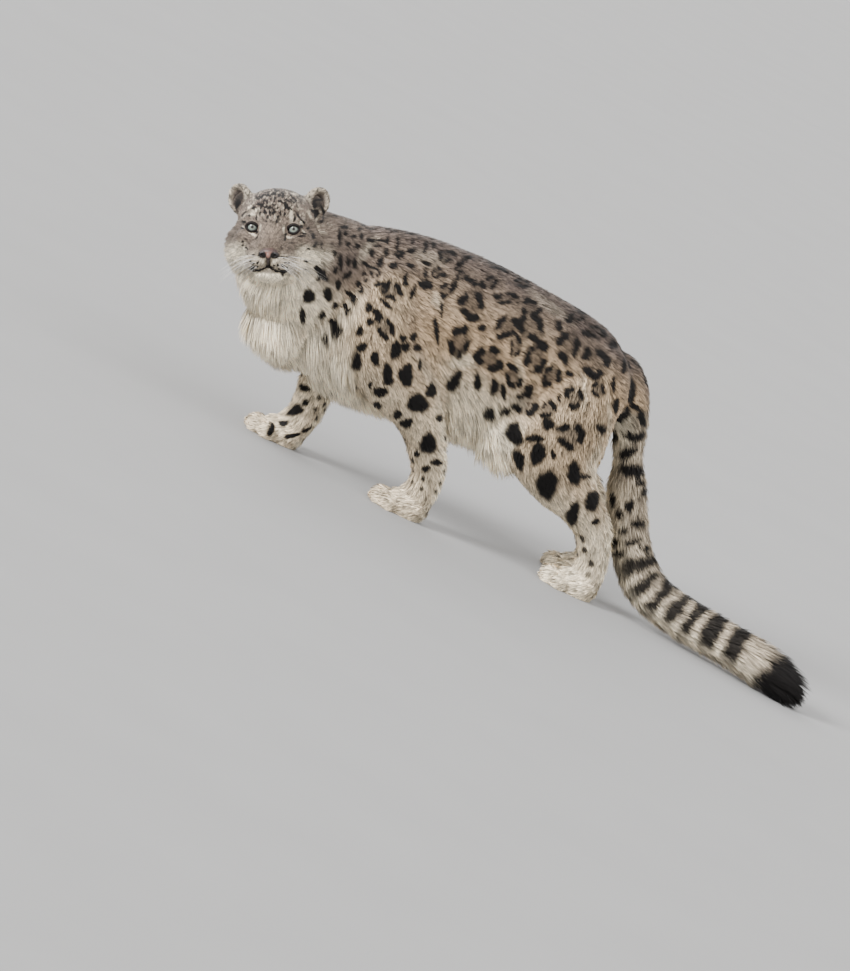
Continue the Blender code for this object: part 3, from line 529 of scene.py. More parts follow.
def noise(points, size, seed):
    """Smooth value noise from -1 to 1: lattice numbers a size apart, blended by smoothstep."""
    scaled = points / size
    cell = np.floor(scaled)
    t = scaled - cell
    t = t * t * (3.0 - 2.0 * t)
    total = 0.0
    for corner in np.ndindex(2, 2, 2):
        weight = np.prod(np.where(corner, t, 1.0 - t), axis=1)
        total = total + weight * lattice(cell + corner, seed)
    return 2.0 * total - 1.0


# Coat of each part: (length, width, stand, droop, clump size, tufts), lengths in metres
COATS = {
    "trunk": (0.026, 0.0030, 0.43, 0.02, 0.012),
    "neck": (0.025, 0.0028, 0.50, 0.04, 0.011),
    "front_left": (0.023, 0.0027, 0.55, 0.0, 0.010),
    "front_right": (0.023, 0.0027, 0.55, 0.0, 0.010),
    "hind_left": (0.024, 0.0027, 0.53, 0.0, 0.010),
    "hind_right": (0.024, 0.0027, 0.53, 0.0, 0.010),
    "tail": (0.050, 0.0036, 0.62, 0.02, 0.018),
    "head": (0.0095, 0.0016, 0.46, 0.0, 0.006),
}
BELLY_COAT = (0.068, 0.0030, 0.56, 0.22, 0.017)
CHEST_COAT = (0.064, 0.0028, 0.42, 0.14, 0.015)
TAIL_TIP_COAT = (0.105, 0.0040, 0.40, 0.0, 0.026)
HAM_COAT = (0.052, 0.0034, 0.55, 0.08, 0.018)
PAW_COAT = (0.016, 0.0022, 0.50, 0.0, 0.008)
RUFF_COAT = (0.042, 0.0025, 0.40, 0.14, 0.011)
FRINGE_COAT = (0.030, 0.0025, 0.66, 0.04, 0.010)
CROWN_COAT = (0.0105, 0.0016, 0.42, 0.0, 0.007)
FACE_COAT = (0.0065, 0.0013, 0.36, 0.0, 0.005)
EAR_COAT = (0.0090, 0.0015, 0.34, 0.0, 0.006)
COAT_FIELDS = ("length", "width", "stand", "droop", "clump")


def mixed_to(fields, row, share):
    """Moves every field towards the row's values by share."""
    for name, value in zip(COAT_FIELDS, row):
        fields[name] += (value - fields[name]) * share


def skin_fields(points, normals):
    """All that the coat needs to know at each point of the skin, as a dictionary of arrays."""
    weight, share, way = part_weights(points)
    head = to_head(points)
    facing = normals @ HEAD_AXES
    fields = {name: sum(weight[part] * COATS[part][k] for part in PARTS) for k, name in enumerate(COAT_FIELDS)}
    trunk = weight["trunk"]
    back, height = points[:, 1] - PLACE[1], points[:, 2]
    under = smoothstep(0.05, 0.75, -normals[:, 2]) * trunk * smoothstep(-0.60, -0.48, back) * smoothstep(0.12, 0.02, back)
    front = (trunk + weight["neck"]) * smoothstep(-0.42, -0.52, back) * smoothstep(0.47, 0.38, height)
    front = front * smoothstep(-0.25, 0.25, -normals[:, 1])
    mixed_to(fields, TAIL_TIP_COAT, weight["tail"] * smoothstep(0.80, 0.97, share["tail"]))
    mixed_to(fields, BELLY_COAT, under)
    mixed_to(fields, CHEST_COAT, front)
    for name in LEGS:
        low = weight[name] * smoothstep(0.10, 0.05, height)
        rear = weight[name] * smoothstep(0.25, 0.85, normals[:, 1]) * smoothstep(0.05, 0.10, height)
        mixed_to(fields, FRINGE_COAT, rear)
        mixed_to(fields, PAW_COAT, low)
        if name.startswith("hind"):
            ham = weight[name] * smoothstep(0.1, 0.8, normals[:, 1]) * smoothstep(0.20, 0.27, height)
            mixed_to(fields, HAM_COAT, ham)
    in_head = weight["head"]
    side = np.abs(head[:, 0])
    ruff = smoothstep(0.060, 0.092, side) * smoothstep(0.030, -0.010, head[:, 2])
    ruff = np.maximum(ruff, smoothstep(0.034, 0.058, side) * smoothstep(-0.060, -0.090, head[:, 2]))
    ruff = in_head * ruff * smoothstep(-0.08, -0.03, head[:, 1])
    throat = in_head * smoothstep(-0.080, -0.110, head[:, 2]) * smoothstep(-0.10, -0.05, head[:, 1])
    crown = in_head * smoothstep(0.035, 0.065, head[:, 2]) * smoothstep(-0.09, -0.03, head[:, 1])
    near_nose = np.linalg.norm(head - (0.0, -0.125, -0.055), axis=1)
    near_eye = np.linalg.norm(np.stack([side, head[:, 1], head[:, 2]], 1) - EYE_PLACE, axis=1)
    face = in_head * np.maximum(smoothstep(0.085, 0.030, near_nose), smoothstep(0.042, 0.022, near_eye))
    ear_off = np.stack([side, head[:, 1], head[:, 2]], 1) - (0.0965, 0.010, 0.084)
    ear = in_head * smoothstep(0.046, 0.034, np.linalg.norm(ear_off, axis=1))
    mixed_to(fields, RUFF_COAT, np.maximum(ruff, throat))
    mixed_to(fields, CROWN_COAT, crown)
    mixed_to(fields, FACE_COAT, face)
    mixed_to(fields, EAR_COAT, ear)
    fields["length"] *= 1.0 + 0.35 * throat
    fields["stand"] += 0.14 * throat
    # How far the skin lies inside the solids: by the coat's height, but little where locks are in the solids
    coat_height = 0.60 * fields["length"] * fields["stand"]
    locks = np.clip(under + front + weight["tail"] * smoothstep(0.10, 0.20, share["tail"]), 0.0, 1.0)
    depth = coat_height * (1.0 - locks) + 0.003 * locks
    depth *= 1.0 - 0.85 * ear
    depth *= 1.0 - 0.9 * in_head * np.maximum(smoothstep(0.040, 0.024, near_eye), smoothstep(0.040, 0.022, near_nose))
    depth *= smoothstep(0.0, 0.012, height)
    fields["depth"] = np.where(ruff + throat > 0.5, np.minimum(depth, 0.009), depth)
    fields["weight"], fields["share"] = weight, share
    fields["lie"] = coat_lie(points, normals, fields, way, head, under, front)
    fields.update(under=under, front=front, ruff=ruff, ear=ear, face=face, near_eye=near_eye, near_nose=near_nose)
    fields.update(head=head, facing=facing, height=height, back=back, throat=throat)
    return fields


def coat_lie(points, normals, fields, way, head, under, front):
    """The way that the coat lies: back along the trunk, down the legs, along the tail, away from the nose."""
    weight = fields["weight"]
    lie = weight["trunk"][:, None] * np.array((0.0, 1.0, -0.28))
    lie = lie + (under + front)[:, None] * np.array((0.0, 0.1, -0.9))
    neck_way = np.array((-0.30, 0.75, -0.45))
    lie = lie + weight["neck"][:, None] * neck_way + weight["tail"][:, None] * way["tail"]
    toes = smoothstep(0.075, 0.040, points[:, 2])[:, None]
    for name in LEGS:
        down = way[name] + np.array((0.0, 0.25, -0.2))
        lie = lie + weight[name][:, None] * (down * (1.0 - toes) + np.array((0.0, -1.0, -0.45)) * toes)
    out = unit(head - np.array((0.0, -0.150, -0.050)))
    out = out + np.stack([0.6 * np.tanh(head[:, 0] / 0.05), 0.5 + 0 * out[:, 0], -0.35 + 0 * out[:, 0]], 1) * (
        smoothstep(0.03, 0.09, np.abs(head[:, 0])) * smoothstep(0.03, -0.03, head[:, 2])
    )[:, None]
    lie = lie + weight["head"][:, None] * (out @ HEAD_AXES.T)
    sway = 0.28 * np.stack([noise(points, 0.075, seed) for seed in (1, 2, 3)], 1)
    lie = unit(lie) + sway * (1.0 - 0.7 * weight["head"])[:, None]
    lie = lie - normals * (lie * normals).sum(-1, keepdims=True)
    return unit(lie)


# Camera

def camera_axes():
    """The camera's right, up and backward ways, from its azimuth, elevation and roll."""
    azimuth, elevation, roll = (math.radians(v) for v in (AZIMUTH, ELEVATION, ROLL))
    right = np.array((math.cos(azimuth), math.sin(azimuth), 0.0))
    level = np.array((math.sin(azimuth), -math.cos(azimuth), 0.0))
    up = -math.sin(elevation) * level + math.cos(elevation) * np.array((0.0, 0.0, 1.0))
    backward = math.cos(elevation) * level + math.sin(elevation) * np.array((0.0, 0.0, 1.0))
    turned_right = math.cos(roll) * right + math.sin(roll) * up
    turned_up = -math.sin(roll) * right + math.cos(roll) * up
    return turned_right, turned_up, backward


RIGHT, UP, BACKWARD = camera_axes()
CENTRE = KEY_POINT + (
    RIGHT * (PHOTO_SIZE[0] / 2 - KEY_PIXEL[0]) - UP * (PHOTO_SIZE[1] / 2 - KEY_PIXEL[1])
) / PIXELS_A_METRE


def pixel_ray(x, y):
    """Where the line of sight of a photo pixel starts, and its way."""
    across, down = x - PHOTO_SIZE[0] / 2, y - PHOTO_SIZE[1] / 2
    target = CENTRE + (RIGHT * across - UP * down) / PIXELS_A_METRE
    start = CENTRE + BACKWARD * CAMERA_DISTANCE
    return start, unit(target - start)


def make_camera():
    data = bpy.data.cameras.new("camera")
    data.sensor_fit = "VERTICAL"
    data.sensor_height = 36.0
    data.lens = 36.0 * CAMERA_DISTANCE * PIXELS_A_METRE / PHOTO_SIZE[1]
    data.clip_end = 400.0
    camera = bpy.data.objects.new("camera", data)
    bpy.context.scene.collection.objects.link(camera)
    matrix = Matrix.Identity(4)
    for k, column in enumerate((RIGHT, UP, BACKWARD, CENTRE + BACKWARD * CAMERA_DISTANCE)):
        for row in range(3):
            matrix[row][k] = column[row]
    camera.matrix_world = matrix
    bpy.context.scene.camera = camera


# Markings

# Marks seen in the photo, as (across, down, half width, half height, turn in degrees, kind). Across and down
# are pixels of the photo, kind 1 is a ring and 0 a spot.
FLANK_MARKS = (
    (459, 341, 11, 14, 0, 1), (471, 306, 13, 13, 0, 1),
    (489, 358, 13, 12, -20, 1), (506, 327, 12, 10, 15, 1), (515, 346, 6, 11, -10, 1), (530, 327, 11, 15, 25, 1),
    (536, 357, 11, 15, 0, 1), (558, 327, 4, 5, 0, 0), (568, 322, 4, 3, 0, 0), (567, 347, 11, 14, 10, 1),
    (595, 363, 15, 13, -25, 1), (595, 333, 10, 7, 0, 1), (612, 347, 6, 5, 20, 0), (530, 309, 10, 8, 0, 1),
    (505, 299, 10, 6, 10, 1), (488, 284, 9, 6, 10, 1), (548, 292, 9, 5, 25, 1), (521, 284, 8, 5, 0, 1),
    (513, 376, 7, 13, 15, 1), (551, 376, 9, 10, -10, 1), (569, 374, 5, 3, -20, 0), (497, 268, 9, 6, 10, 1),
    (454, 380, 6, 11, -25, 0), (477, 381, 4, 8, 0, 0), (494, 386, 4, 9, -10, 0), (503, 391, 3, 8, 15, 0),
    (529, 388, 5, 4, 0, 0), (526, 404, 11, 12, 0, 1), (548, 409, 8, 8, 0, 1), (548, 424, 7, 6, 0, 0),
    (573, 398, 8, 12, 0, 1), (559, 398, 2, 4, 0, 0), (597, 390, 7, 7, 0, 1), (481, 328, 4, 4, 0, 0),
    (445, 291, 6, 7, 0, 1),
    (436, 330, 3, 13, 5, 0), (424, 285, 5, 6, 0, 0), (413, 292, 2, 8, -20, 0), (441, 310, 2, 8, 0, 0),
    (577, 317, 9, 6, 30, 1), (612, 320, 6, 4, 30, 0), (626, 345, 5, 6, 20, 1), (622, 366, 3, 8, 0, 0),
)
THIGH_MARKS = (
    (516, 434, 7, 10, 10, 0), (535, 438, 8, 4, 0, 0), (538, 453, 7, 10, 0, 0), (520, 459, 5, 9, 10, 0),
    (570, 436, 11, 12, 0, 1), (506, 411, 5, 4, 0, 0), (573, 473, 6, 10, 0, 0), (581, 476, 5, 3, 0, 0),
    (598, 464, 8, 4, 20, 0), (547, 484, 10, 12, 15, 0), (530, 490, 3, 7, 10, 0), (591, 500, 6, 9, -20, 0),
    (573, 513, 5, 12, -15, 0), (595, 521, 4, 3, 0, 0), (549, 522, 4, 6, 0, 0), (577, 540, 4, 6, 0, 0),
    (489, 411, 6, 5, -40, 0), (612, 440, 3, 7, 0, 0),
    (598, 428, 4, 5, 0, 0), (614, 405, 3, 7, 0, 0), (612, 384, 2, 7, 0, 0), (553, 454, 2, 5, 20, 0),
)
SHOULDER_MARKS = (
    (339, 330, 6, 6, 0, 0), (333, 322, 4, 3, 0, 0), (327, 338, 3, 6, 15, 0), (360, 331, 3, 5, 0, 0),
    (384, 327, 7, 11, 20, 1), (370, 322, 3, 4, 0, 0), (362, 347, 5, 4, 0, 0), (375, 358, 4, 6, 0, 0),
    (358, 361, 4, 9, 0, 0), (395, 350, 5, 8, 0, 0), (402, 338, 4, 3, 0, 0), (404, 347, 4, 5, 0, 0),
    (412, 337, 3, 4, 0, 0), (415, 348, 4, 3, 0, 0), (387, 373, 4, 10, 0, 0), (389, 381, 5, 3, 0, 0),
    (405, 376, 7, 8, 0, 0), (407, 367, 4, 4, 0, 0), (418, 365, 2, 5, 0, 0), (429, 391, 5, 6, -20, 0),
    (381, 391, 6, 5, 0, 0), (371, 384, 2, 3, 0, 0), (417, 403, 10, 8, 20, 0), (378, 404, 4, 4, 0, 0),
    (398, 413, 4, 4, 0, 0), (407, 422, 6, 4, 20, 0), (437, 418, 3, 4, -20, 0), (428, 443, 8, 8, 20, 0),
    (418, 453, 3, 3, 0, 0), (436, 462, 5, 3, 0, 0), (426, 468, 4, 3, 0, 0), (327, 293, 4, 6, 0, 0),
    (322, 314, 3, 5, 10, 0), (335, 305, 3, 3, 0, 0), (345, 306, 2, 3, 0, 0), (350, 313, 3, 4, 0, 0),
    (355, 302, 3, 5, 10, 0), (391, 291, 9, 8, 0, 1), (369, 308, 3, 5, 0, 0), (376, 312, 4, 3, -30, 0),
    (385, 304, 8, 2, -40, 0), (296, 411, 7, 5, 25, 0), (306, 403, 3, 3, 0, 0), (306, 429, 6, 1.5, 30, 0),
    (262, 398, 5, 4, 0, 0), (280, 392, 5, 4, 0, 0), (283, 424, 4, 3, 0, 0), (305, 388, 6, 3, -30, 0),
)
NECK_MARKS = (
    (320, 273, 3, 8, 35, 0), (308, 294, 5, 7, 20, 0), (303, 313, 3, 7, 10, 0), (346, 275, 5, 2.2, 45, 0),
    (338, 238, 1.6, 9, 0, 0), (343, 229, 4, 1.6, 0, 0), (344, 235, 2, 2.4, 0, 0), (352, 238, 2.6, 2, 0, 0),
    (358, 231.5, 2, 1.6, 0, 0), (360, 238, 2.2, 2.8, 0, 0), (347, 245.5, 2, 2.6, 0, 0), (356, 247.5, 2.6, 2.6, 0, 0),
    (367.5, 241.5, 2.4, 2, 0, 0), (377, 244, 5, 4, 0, 1), (387, 242, 2.4, 3.6, 0, 0), (371, 253.5, 3.8, 3, -40, 0),
    (386, 254, 2.2, 4.6, 0, 0), (397, 245, 2, 7, 0, 0), (401, 255, 3, 3.6, 0, 0), (411, 252, 4, 3, 0, 0),
    (412, 243.5, 1.7, 2.6, 0, 0), (425, 248.5, 2.4, 6.6, -15, 0), (433, 247, 1.8, 3.6, 0, 0),
    (347, 262, 2.2, 3.2, 0, 0), (353, 263.5, 2.2, 4.8, 0, 0), (380.5, 263, 2.8, 5.8, -10, 0),
    (366, 265.5, 5.6, 1.8, -35, 0), (375, 273.5, 4.4, 5, 0, 1), (393, 266.5, 3.6, 3.6, 0, 0),
    (410, 266.5, 4.2, 2, -30, 0), (397, 258, 4.6, 1.6, -40, 0), (364, 274.5, 2.4, 2, 0, 0), (366, 281, 2.2, 1.8, 0, 0),
    (426, 264.5, 5.2, 2, -20, 0), (425, 274, 1.9, 4.8, 0, 0), (436, 273.5, 4.8, 5, 0, 1), (443, 276, 2.8, 2.6, 0, 0),
    (446, 257, 7, 6, 0, 1), (404, 279, 2.2, 5.6, -15, 0), (404.5, 284, 3, 2.4, 0, 0), (358, 284.5, 2.8, 2.8, 0, 0),
    (379, 285, 5.2, 2.6, 0, 0), (386, 288, 2.6, 3.6, 0, 0), (349, 293.5, 3.8, 2.4, -35, 0), (362, 292, 2.8, 3.2, 0, 0),
    (355, 298.5, 2.8, 2.2, 0, 0), (396, 286, 2.8, 2.6, 0, 0), (412, 293, 2.6, 5.6, -20, 0), (420, 284.5, 3.8, 2.2, -40, 0),
    (430, 286, 2.4, 4.2, 0, 0), (453, 287, 2.8, 6.6, -20, 0), (470, 281.5, 5.6, 2.2, 0, 0), (474, 285.5, 2.6, 2.2, 0, 0),
    (459, 266, 6.8, 2.4, 42, 0), (467, 259.5, 4.8, 2.4, 30, 0), (461, 276.5, 4.8, 4.8, 0, 1), (337, 284, 3, 4, 0, 0),
    (339, 262, 2, 7, 0, 0), (334, 270, 1.8, 4, -10, 0),
)
# Marks of the face: brow lines, specks of the forehead, streaks from the eyes, cheek bars, whisker rows, lip
# corners, and painted shade in the ears' hollows
FACE_MARKS = (
    (245, 213.8, 4.5, 1.0, 25, 0), (254, 208.2, 3.0, 0.9, 40, 0), (260.5, 204.9, 4.2, 1.0, 5, 0),
    (258.4, 212, 1.3, 2.6, 0, 3), (256.3, 218, 0.8, 2.2, 0, 0), (249.5, 216, 1.3, 1.0, 0, 0),
    (239.3, 223.7, 1.4, 1.2, 0, 0), (242.5, 228.4, 3.2, 0.9, -38, 0), (244.2, 221.8, 2.2, 0.9, -15, 0),
    (233.8, 228, 0.9, 3.0, 0, 0), (230, 224.5, 1.2, 0.9, 0, 3), (237.5, 217.5, 0.8, 2.2, 10, 3),
    (272.5, 195, 1.9, 1.2, 0, 0), (279.0, 195.8, 1.3, 1.2, 0, 0), (269, 193, 1.2, 0.9, 0, 0),
    (264, 193, 2.6, 0.9, -30, 0), (258.8, 199.5, 2.1, 0.9, 0, 0), (264.8, 201, 1.2, 1.1, 0, 0),
    (265.5, 207.6, 1.5, 1.1, 0, 0), (268.8, 208.2, 1.1, 1.1, 0, 0), (265.3, 210.8, 0.9, 0.9, 0, 0),
    (266, 213.2, 1.1, 0.9, 0, 0), (267.8, 217.3, 2.0, 0.9, 60, 0), (270.2, 213.4, 0.9, 0.9, 0, 0),
    (266.5, 221.8, 0.8, 1.1, 0, 0), (278.0, 217, 1.3, 1.3, 0, 0), (276.4, 221.5, 0.8, 1.9, 0, 0),
    (280.2, 213.5, 0.8, 2.1, 0, 0), (275.5, 190, 1.5, 1.0, 0, 0), (262.5, 218.5, 0.8, 1.6, 0, 3),
    (274.0, 205.5, 1.4, 1.0, 0, 0), (277.5, 208.5, 1.2, 0.9, 0, 0), (272.0, 211.0, 1.0, 0.9, 0, 3),
    (282.5, 196.5, 1.3, 1.2, 0, 0), (287.4, 201.4, 3.6, 0.9, -32, 0), (291.2, 201.3, 2.0, 0.8, -40, 0),
    (293.2, 199.3, 2.6, 0.8, -30, 0), (295.6, 201.5, 1.0, 0.9, 0, 0), (284.5, 203.8, 2.6, 0.9, -10, 0),
    (285.0, 206.2, 1.3, 1.1, 0, 0), (289.5, 208.8, 3.2, 0.9, -45, 0), (298.0, 216.3, 4.2, 0.95, -55, 0),
    (302.6, 221.6, 3.2, 0.85, -40, 0), (294.6, 218.5, 0.95, 2.2, 0, 0), (287.8, 217, 0.8, 3.5, 0, 3),
    (299.2, 197, 0.8, 1.6, 0, 0), (306.2, 228.6, 1.4, 1.1, 0, 0), (300.8, 226.6, 2.2, 1.0, 0, 0),
    (301.5, 236.2, 3.6, 0.8, 5, 0), (304.0, 233.8, 2.2, 0.8, -15, 0), (311, 237.6, 3.1, 1.6, -55, 0),
    (316, 234, 3.4, 0.9, -70, 0), (284.6, 238.5, 0.8, 2.8, 0, 0), (285.3, 234.6, 1.6, 0.8, 50, 0),
    (312.7, 245.3, 3.0, 1.4, 65, 0), (317, 246, 0.9, 4.0, 0, 0), (320.3, 244.7, 1.0, 2.0, 0, 0),
    (307.3, 248.4, 1.4, 0.9, 0, 0), (301, 245.2, 5.6, 0.7, 18, 3), (313.5, 261, 2.5, 1.4, -10, 0),
    (315.3, 258.5, 1.1, 1.1, 0, 0), (304.8, 260.4, 1.8, 0.8, 0, 0), (304, 267.4, 2.6, 0.9, -25, 0),
    (294, 275, 2.6, 1.4, -15, 3), (317.4, 277.4, 3.2, 1.7, 45, 0), (321.4, 272.3, 3.6, 2.0, 52, 0),
    (330, 246, 2.4, 2.8, 0, 3), (322.8, 265, 1.0, 3.0, 0, 3), (333, 254, 2.2, 3.0, 0, 0),
    (257.6, 237.3, 3.0, 0.8, 65, 0), (253.8, 240.3, 2.2, 0.7, 25, 3), (257.3, 232.4, 1.6, 0.9, 60, 0),
    (243.2, 241.5, 1.2, 1.0, 0, 0), (243.3, 245, 1.1, 0.7, 0, 0), (233.3, 241.5, 1.0, 1.9, 0, 0),
    (228.5, 238, 0.9, 2.6, 0, 0), (237.5, 263.2, 2.6, 1.3, -10, 3), (235.5, 236.5, 0.8, 2.4, 15, 3),
    (281.5, 257.0, 1.0, 0.9, 0, 0), (283.9, 257.8, 1.0, 0.8, 0, 0), (286.5, 257.7, 1.0, 0.8, 0, 0),
    (289.0, 257.2, 0.9, 0.7, 0, 0), (285.3, 263.0, 1.4, 0.8, 0, 0), (288.1, 263.0, 1.1, 0.7, 0, 0),
    (278.0, 265.0, 1.0, 1.1, 0, 0), (282.0, 264.8, 1.6, 0.8, 0, 0), (283.8, 266.4, 1.7, 1.0, -15, 0),
    (286.4, 267.3, 1.3, 0.7, 0, 0), (279.0, 268.6, 1.0, 0.7, 0, 0), (274.4, 265.4, 0.8, 0.8, 0, 0),
    (278.4, 254.8, 1.1, 0.9, 0, 0), (281.6, 248.4, 1.2, 0.9, 0, 3), (247.0, 247.5, 1.1, 0.8, 0, 0),
    (248.2, 249.4, 0.9, 0.9, 0, 0), (246.4, 251.0, 1.0, 0.7, 0, 3), (253.4, 255.4, 1.5, 0.9, 0, 0),
    (249.6, 254.4, 1.0, 0.7, 0, 3), (250.4, 261.0, 1.7, 0.8, -30, 0), (253.0, 263.3, 1.6, 1.0, 0, 0),
    (257.6, 262.8, 1.6, 0.8, 20, 0), (257.4, 266.2, 1.0, 0.8, 0, 0), (254.4, 265.4, 1.0, 0.7, 0, 0),
    (252.0, 268.2, 3.0, 2.4, -10, 0), (257.5, 269.8, 3.4, 0.9, -5, 0), (262.8, 268.6, 3.0, 0.8, 15, 0),
    (268.0, 266.2, 3.0, 1.3, 0, 0), (268.0, 263.5, 0.9, 3.0, 0, 0), (273.0, 269.2, 3.0, 0.8, -18, 0),
    (277.5, 270.9, 3.0, 0.9, -12, 0), (284.0, 270.8, 4.8, 1.7, 8, 0), (282.6, 274.3, 1.6, 2.2, 0, 0),
    # Painted shade in and about the ears' hollows, the left ear's and then the right ear's
    (237.8, 203.8, 5.8, 2.1, 65, 0), (237.2, 194.5, 1.3, 4.0, 0, 3), (229.4, 212.6, 1.6, 2.4, 0, 0),
    (314.6, 204.6, 1.9, 4.6, 10, 0), (315.2, 213.6, 2.8, 4.6, 0, 0), (311.6, 211.4, 2.6, 1.4, -25, 0),
    (318.6, 200.2, 4.0, 1.1, 0, 0), (323.6, 212.2, 1.6, 4.0, 0, 0), (322.4, 219.0, 0.9, 3.4, -10, 0),
    (318.6, 208.0, 2.2, 5.0, 0, 3), (321.0, 222.6, 2.0, 1.3, 0, 0),
    (268.0, 271.8, 7.0, 1.8, 0, 3), (246.0, 239.0, 2.4, 0.8, -30, 3), (239.0, 237.0, 2.0, 0.8, -50, 3),
    (249.5, 243.5, 2.2, 0.7, -40, 3), (291.0, 243.0, 3.6, 0.7, -8, 3), (296.5, 249.0, 3.0, 0.7, 10, 3),
)
# Pale patches of the face: over, beside and under the eyes, the ruff's line, cheeks, pads and chin
FACE_PATCHES = (
    (257.0, 210.3, 4.2, 1.4, 50, 2), (252.0, 214.6, 3.0, 1.6, 0, 2), (260.6, 227.6, 1.3, 3.6, 0, 2),
    (252.6, 234.0, 5.0, 1.1, -22, 2), (244.0, 227.0, 2.8, 0.8, -40, 2), (291.2, 214.5, 2.0, 6.5, 8, 2),
    (302.0, 222.6, 2.6, 1.3, -40, 2), (283.4, 229.0, 1.3, 4.8, 0, 2), (289.0, 237.2, 4.0, 1.1, -8, 2),
    (303.0, 231.6, 2.8, 0.8, -38, 2), (293.6, 194.6, 3.6, 2.0, 0, 2), (250.5, 207.4, 3.2, 1.4, 30, 2),
    (309.0, 215.4, 5.0, 1.2, -52, 2), (316.5, 224.0, 5.2, 1.5, -48, 2), (322.0, 233.4, 5.6, 2.2, -58, 2),
    (325.6, 243.4, 2.0, 5.6, 0, 2), (305.0, 255.8, 11.0, 4.6, 0, 2), (300.0, 264.4, 9.0, 4.6, 0, 2),
    (312.0, 268.4, 6.5, 5.0, 0, 2), (262.4, 262.2, 3.6, 2.8, -40, 2), (274.6, 261.4, 3.8, 2.8, 20, 2),
    (267.0, 277.6, 10.0, 4.6, 0, 2), (237.5, 248.4, 6.6, 3.4, -20, 2), (239.6, 256.4, 8.0, 4.6, 0, 2),
    (238.0, 219.6, 2.0, 3.6, 0, 2), (231.0, 218.6, 3.0, 3.0, 0, 2),
)
TAIL_MARKS = (
    (630, 390, 5, 11, 0, 0), (634, 406, 4, 3, 0, 0), (630, 422, 12, 12, 0, 1), (645, 439, 5, 7, 0, 0),
    (628, 452, 11, 4.5, 30, 0), (632, 471, 12, 7.5, 0, 0), (652, 484, 4.5, 12, 0, 0), (611, 482, 7, 9, 0, 0),
    (629, 505, 4.5, 6.5, 0, 0), (645.5, 502, 4.5, 3.5, 0, 0), (652, 517, 4.5, 6, 0, 0), (635, 523.5, 8, 3.5, 0, 0),
    (619, 541, 4, 5, 0, 0), (632, 541, 9, 3.4, 15, 0), (649, 545, 4, 6, 0, 0), (640, 462, 4, 5, 0, 0),
    (618, 500, 3, 7, 0, 0), (614, 462, 4, 6, 0, 0), (646, 462, 3, 6, 0, 0), (619, 436, 4, 5, 0, 0),
    (639, 492, 5, 4, 20, 0), (622, 514, 5, 4, -20, 0), (641, 513, 4, 4, 0, 0), (636, 482, 4, 3, 0, 0),
    (625, 530, 5, 3, 10, 0), (641, 550, 6, 3, 0, 0), (622, 552, 6, 3, 10, 0), (638, 443, 4, 4, 0, 0),
)
# Pale patches of the body: above the belly, along the back of the shoulder and on the rump
BODY_PATCHES = (
    (461, 362, 16, 8, 0, 2), (436, 392, 5, 26, 18, 4), (548, 307, 24, 7, -38, 4), (428, 259, 20, 8, -20, 4),
    (471, 395, 16, 8, -10, 2), (583, 395, 4, 22, 0, 4), (607, 420, 4, 26, 0, 4), (520, 372, 4, 14, 10, 4),
    (437, 302, 5, 9, 20, 4), (367, 250, 5, 14, -35, 4), (340, 300, 5, 14, 10, 4), (365, 372, 10, 6, 0, 4),
)
SPOT, RING, PALE, FAINT, SOFT_PALE = 0, 1, 2, 3, 4
PALE_SHARES = {PALE: 0.6, SOFT_PALE: 0.32}
MARK_EDGE = 0.22
RING_WIDTH = 0.43
CENTRE_SHADE = 0.48
FACE_GROWTH = 0.28
FLANK_GROWTH = 1.06
BODY_GROWTH = 1.20
TAIL_GROWTH = 1.15


def mark_from_photo(tree, row):
    """A mark where the line of sight of its pixel meets the skin, with a map from the skin to pixels.

    The map takes a place on the tangent plane to photo pixels. Its least stretch is held, so that a mark on
    a surface seen edge on doesn't smear.
    """
    across, down, half_width, half_height, turn, kind = row
    start, way = pixel_ray(across, down)
    place, normal, _, _ = tree.ray_cast(Vector(start), Vector(way))
    if place is None:
        return None
    normal = np.array(normal)
    first = unit(RIGHT - normal * (normal @ RIGHT))
    plane = np.stack([first, np.cross(normal, first)])
    image = np.stack([RIGHT, -UP]) @ plane.T * PIXELS_A_METRE
    left, stretch, right = np.linalg.svd(image)
    image = left @ np.diag(np.maximum(stretch, 0.5 * PIXELS_A_METRE)) @ right
    cos, sin = math.cos(math.radians(turn)), math.sin(math.radians(turn))
    spin = np.array(((cos, -sin), (sin, cos)))
    scale = np.diag((1.0 / half_width, 1.0 / half_height)) @ spin @ image @ plane
    dark = 0.55 if kind == FAINT else 1.0
    return {"place": np.array(place), "normal": normal, "scale": scale, "kind": kind, "dark": dark}


def mark_on_skin(place, normal, lie, half_length, half_width, kind, dark):
    """A mark laid along the coat, of half sizes in metres."""
    across = np.cross(normal, lie)
    scale = np.stack([lie / half_length, across / half_width])
    return {"place": place, "normal": normal, "scale": scale, "kind": kind, "dark": dark}


def mirrored_mark(mark, tree, rng):
    """The mark's mirror image on the other flank, dropped onto the skin there, a little moved."""
    mirror = np.array((-1.0, 1.0, 1.0))
    middle = np.array((2 * PLACE[0], 0.0, 0.0))
    target = mark["place"] * mirror + middle + rng.normal(0.0, 0.008, 3)
    place, normal, _, _ = tree.find_nearest(Vector(target))
    return {**mark, "place": np.array(place), "normal": np.array(normal), "scale": mark["scale"] * mirror}


def reach_of(mark):
    """The mark's greatest half size in metres."""
    return 1.0 / np.linalg.svd(mark["scale"], compute_uv=False)[-1]


def marks_near(points, marks):
    """The marks that reach into the points' box."""
    low, high = points.min(0), points.max(0)
    near = []
    for mark in marks:
        reach = 1.5 * reach_of(mark)
        if (mark["place"] > low - reach).all() and (mark["place"] < high + reach).all():
            near.append(mark)
    return near


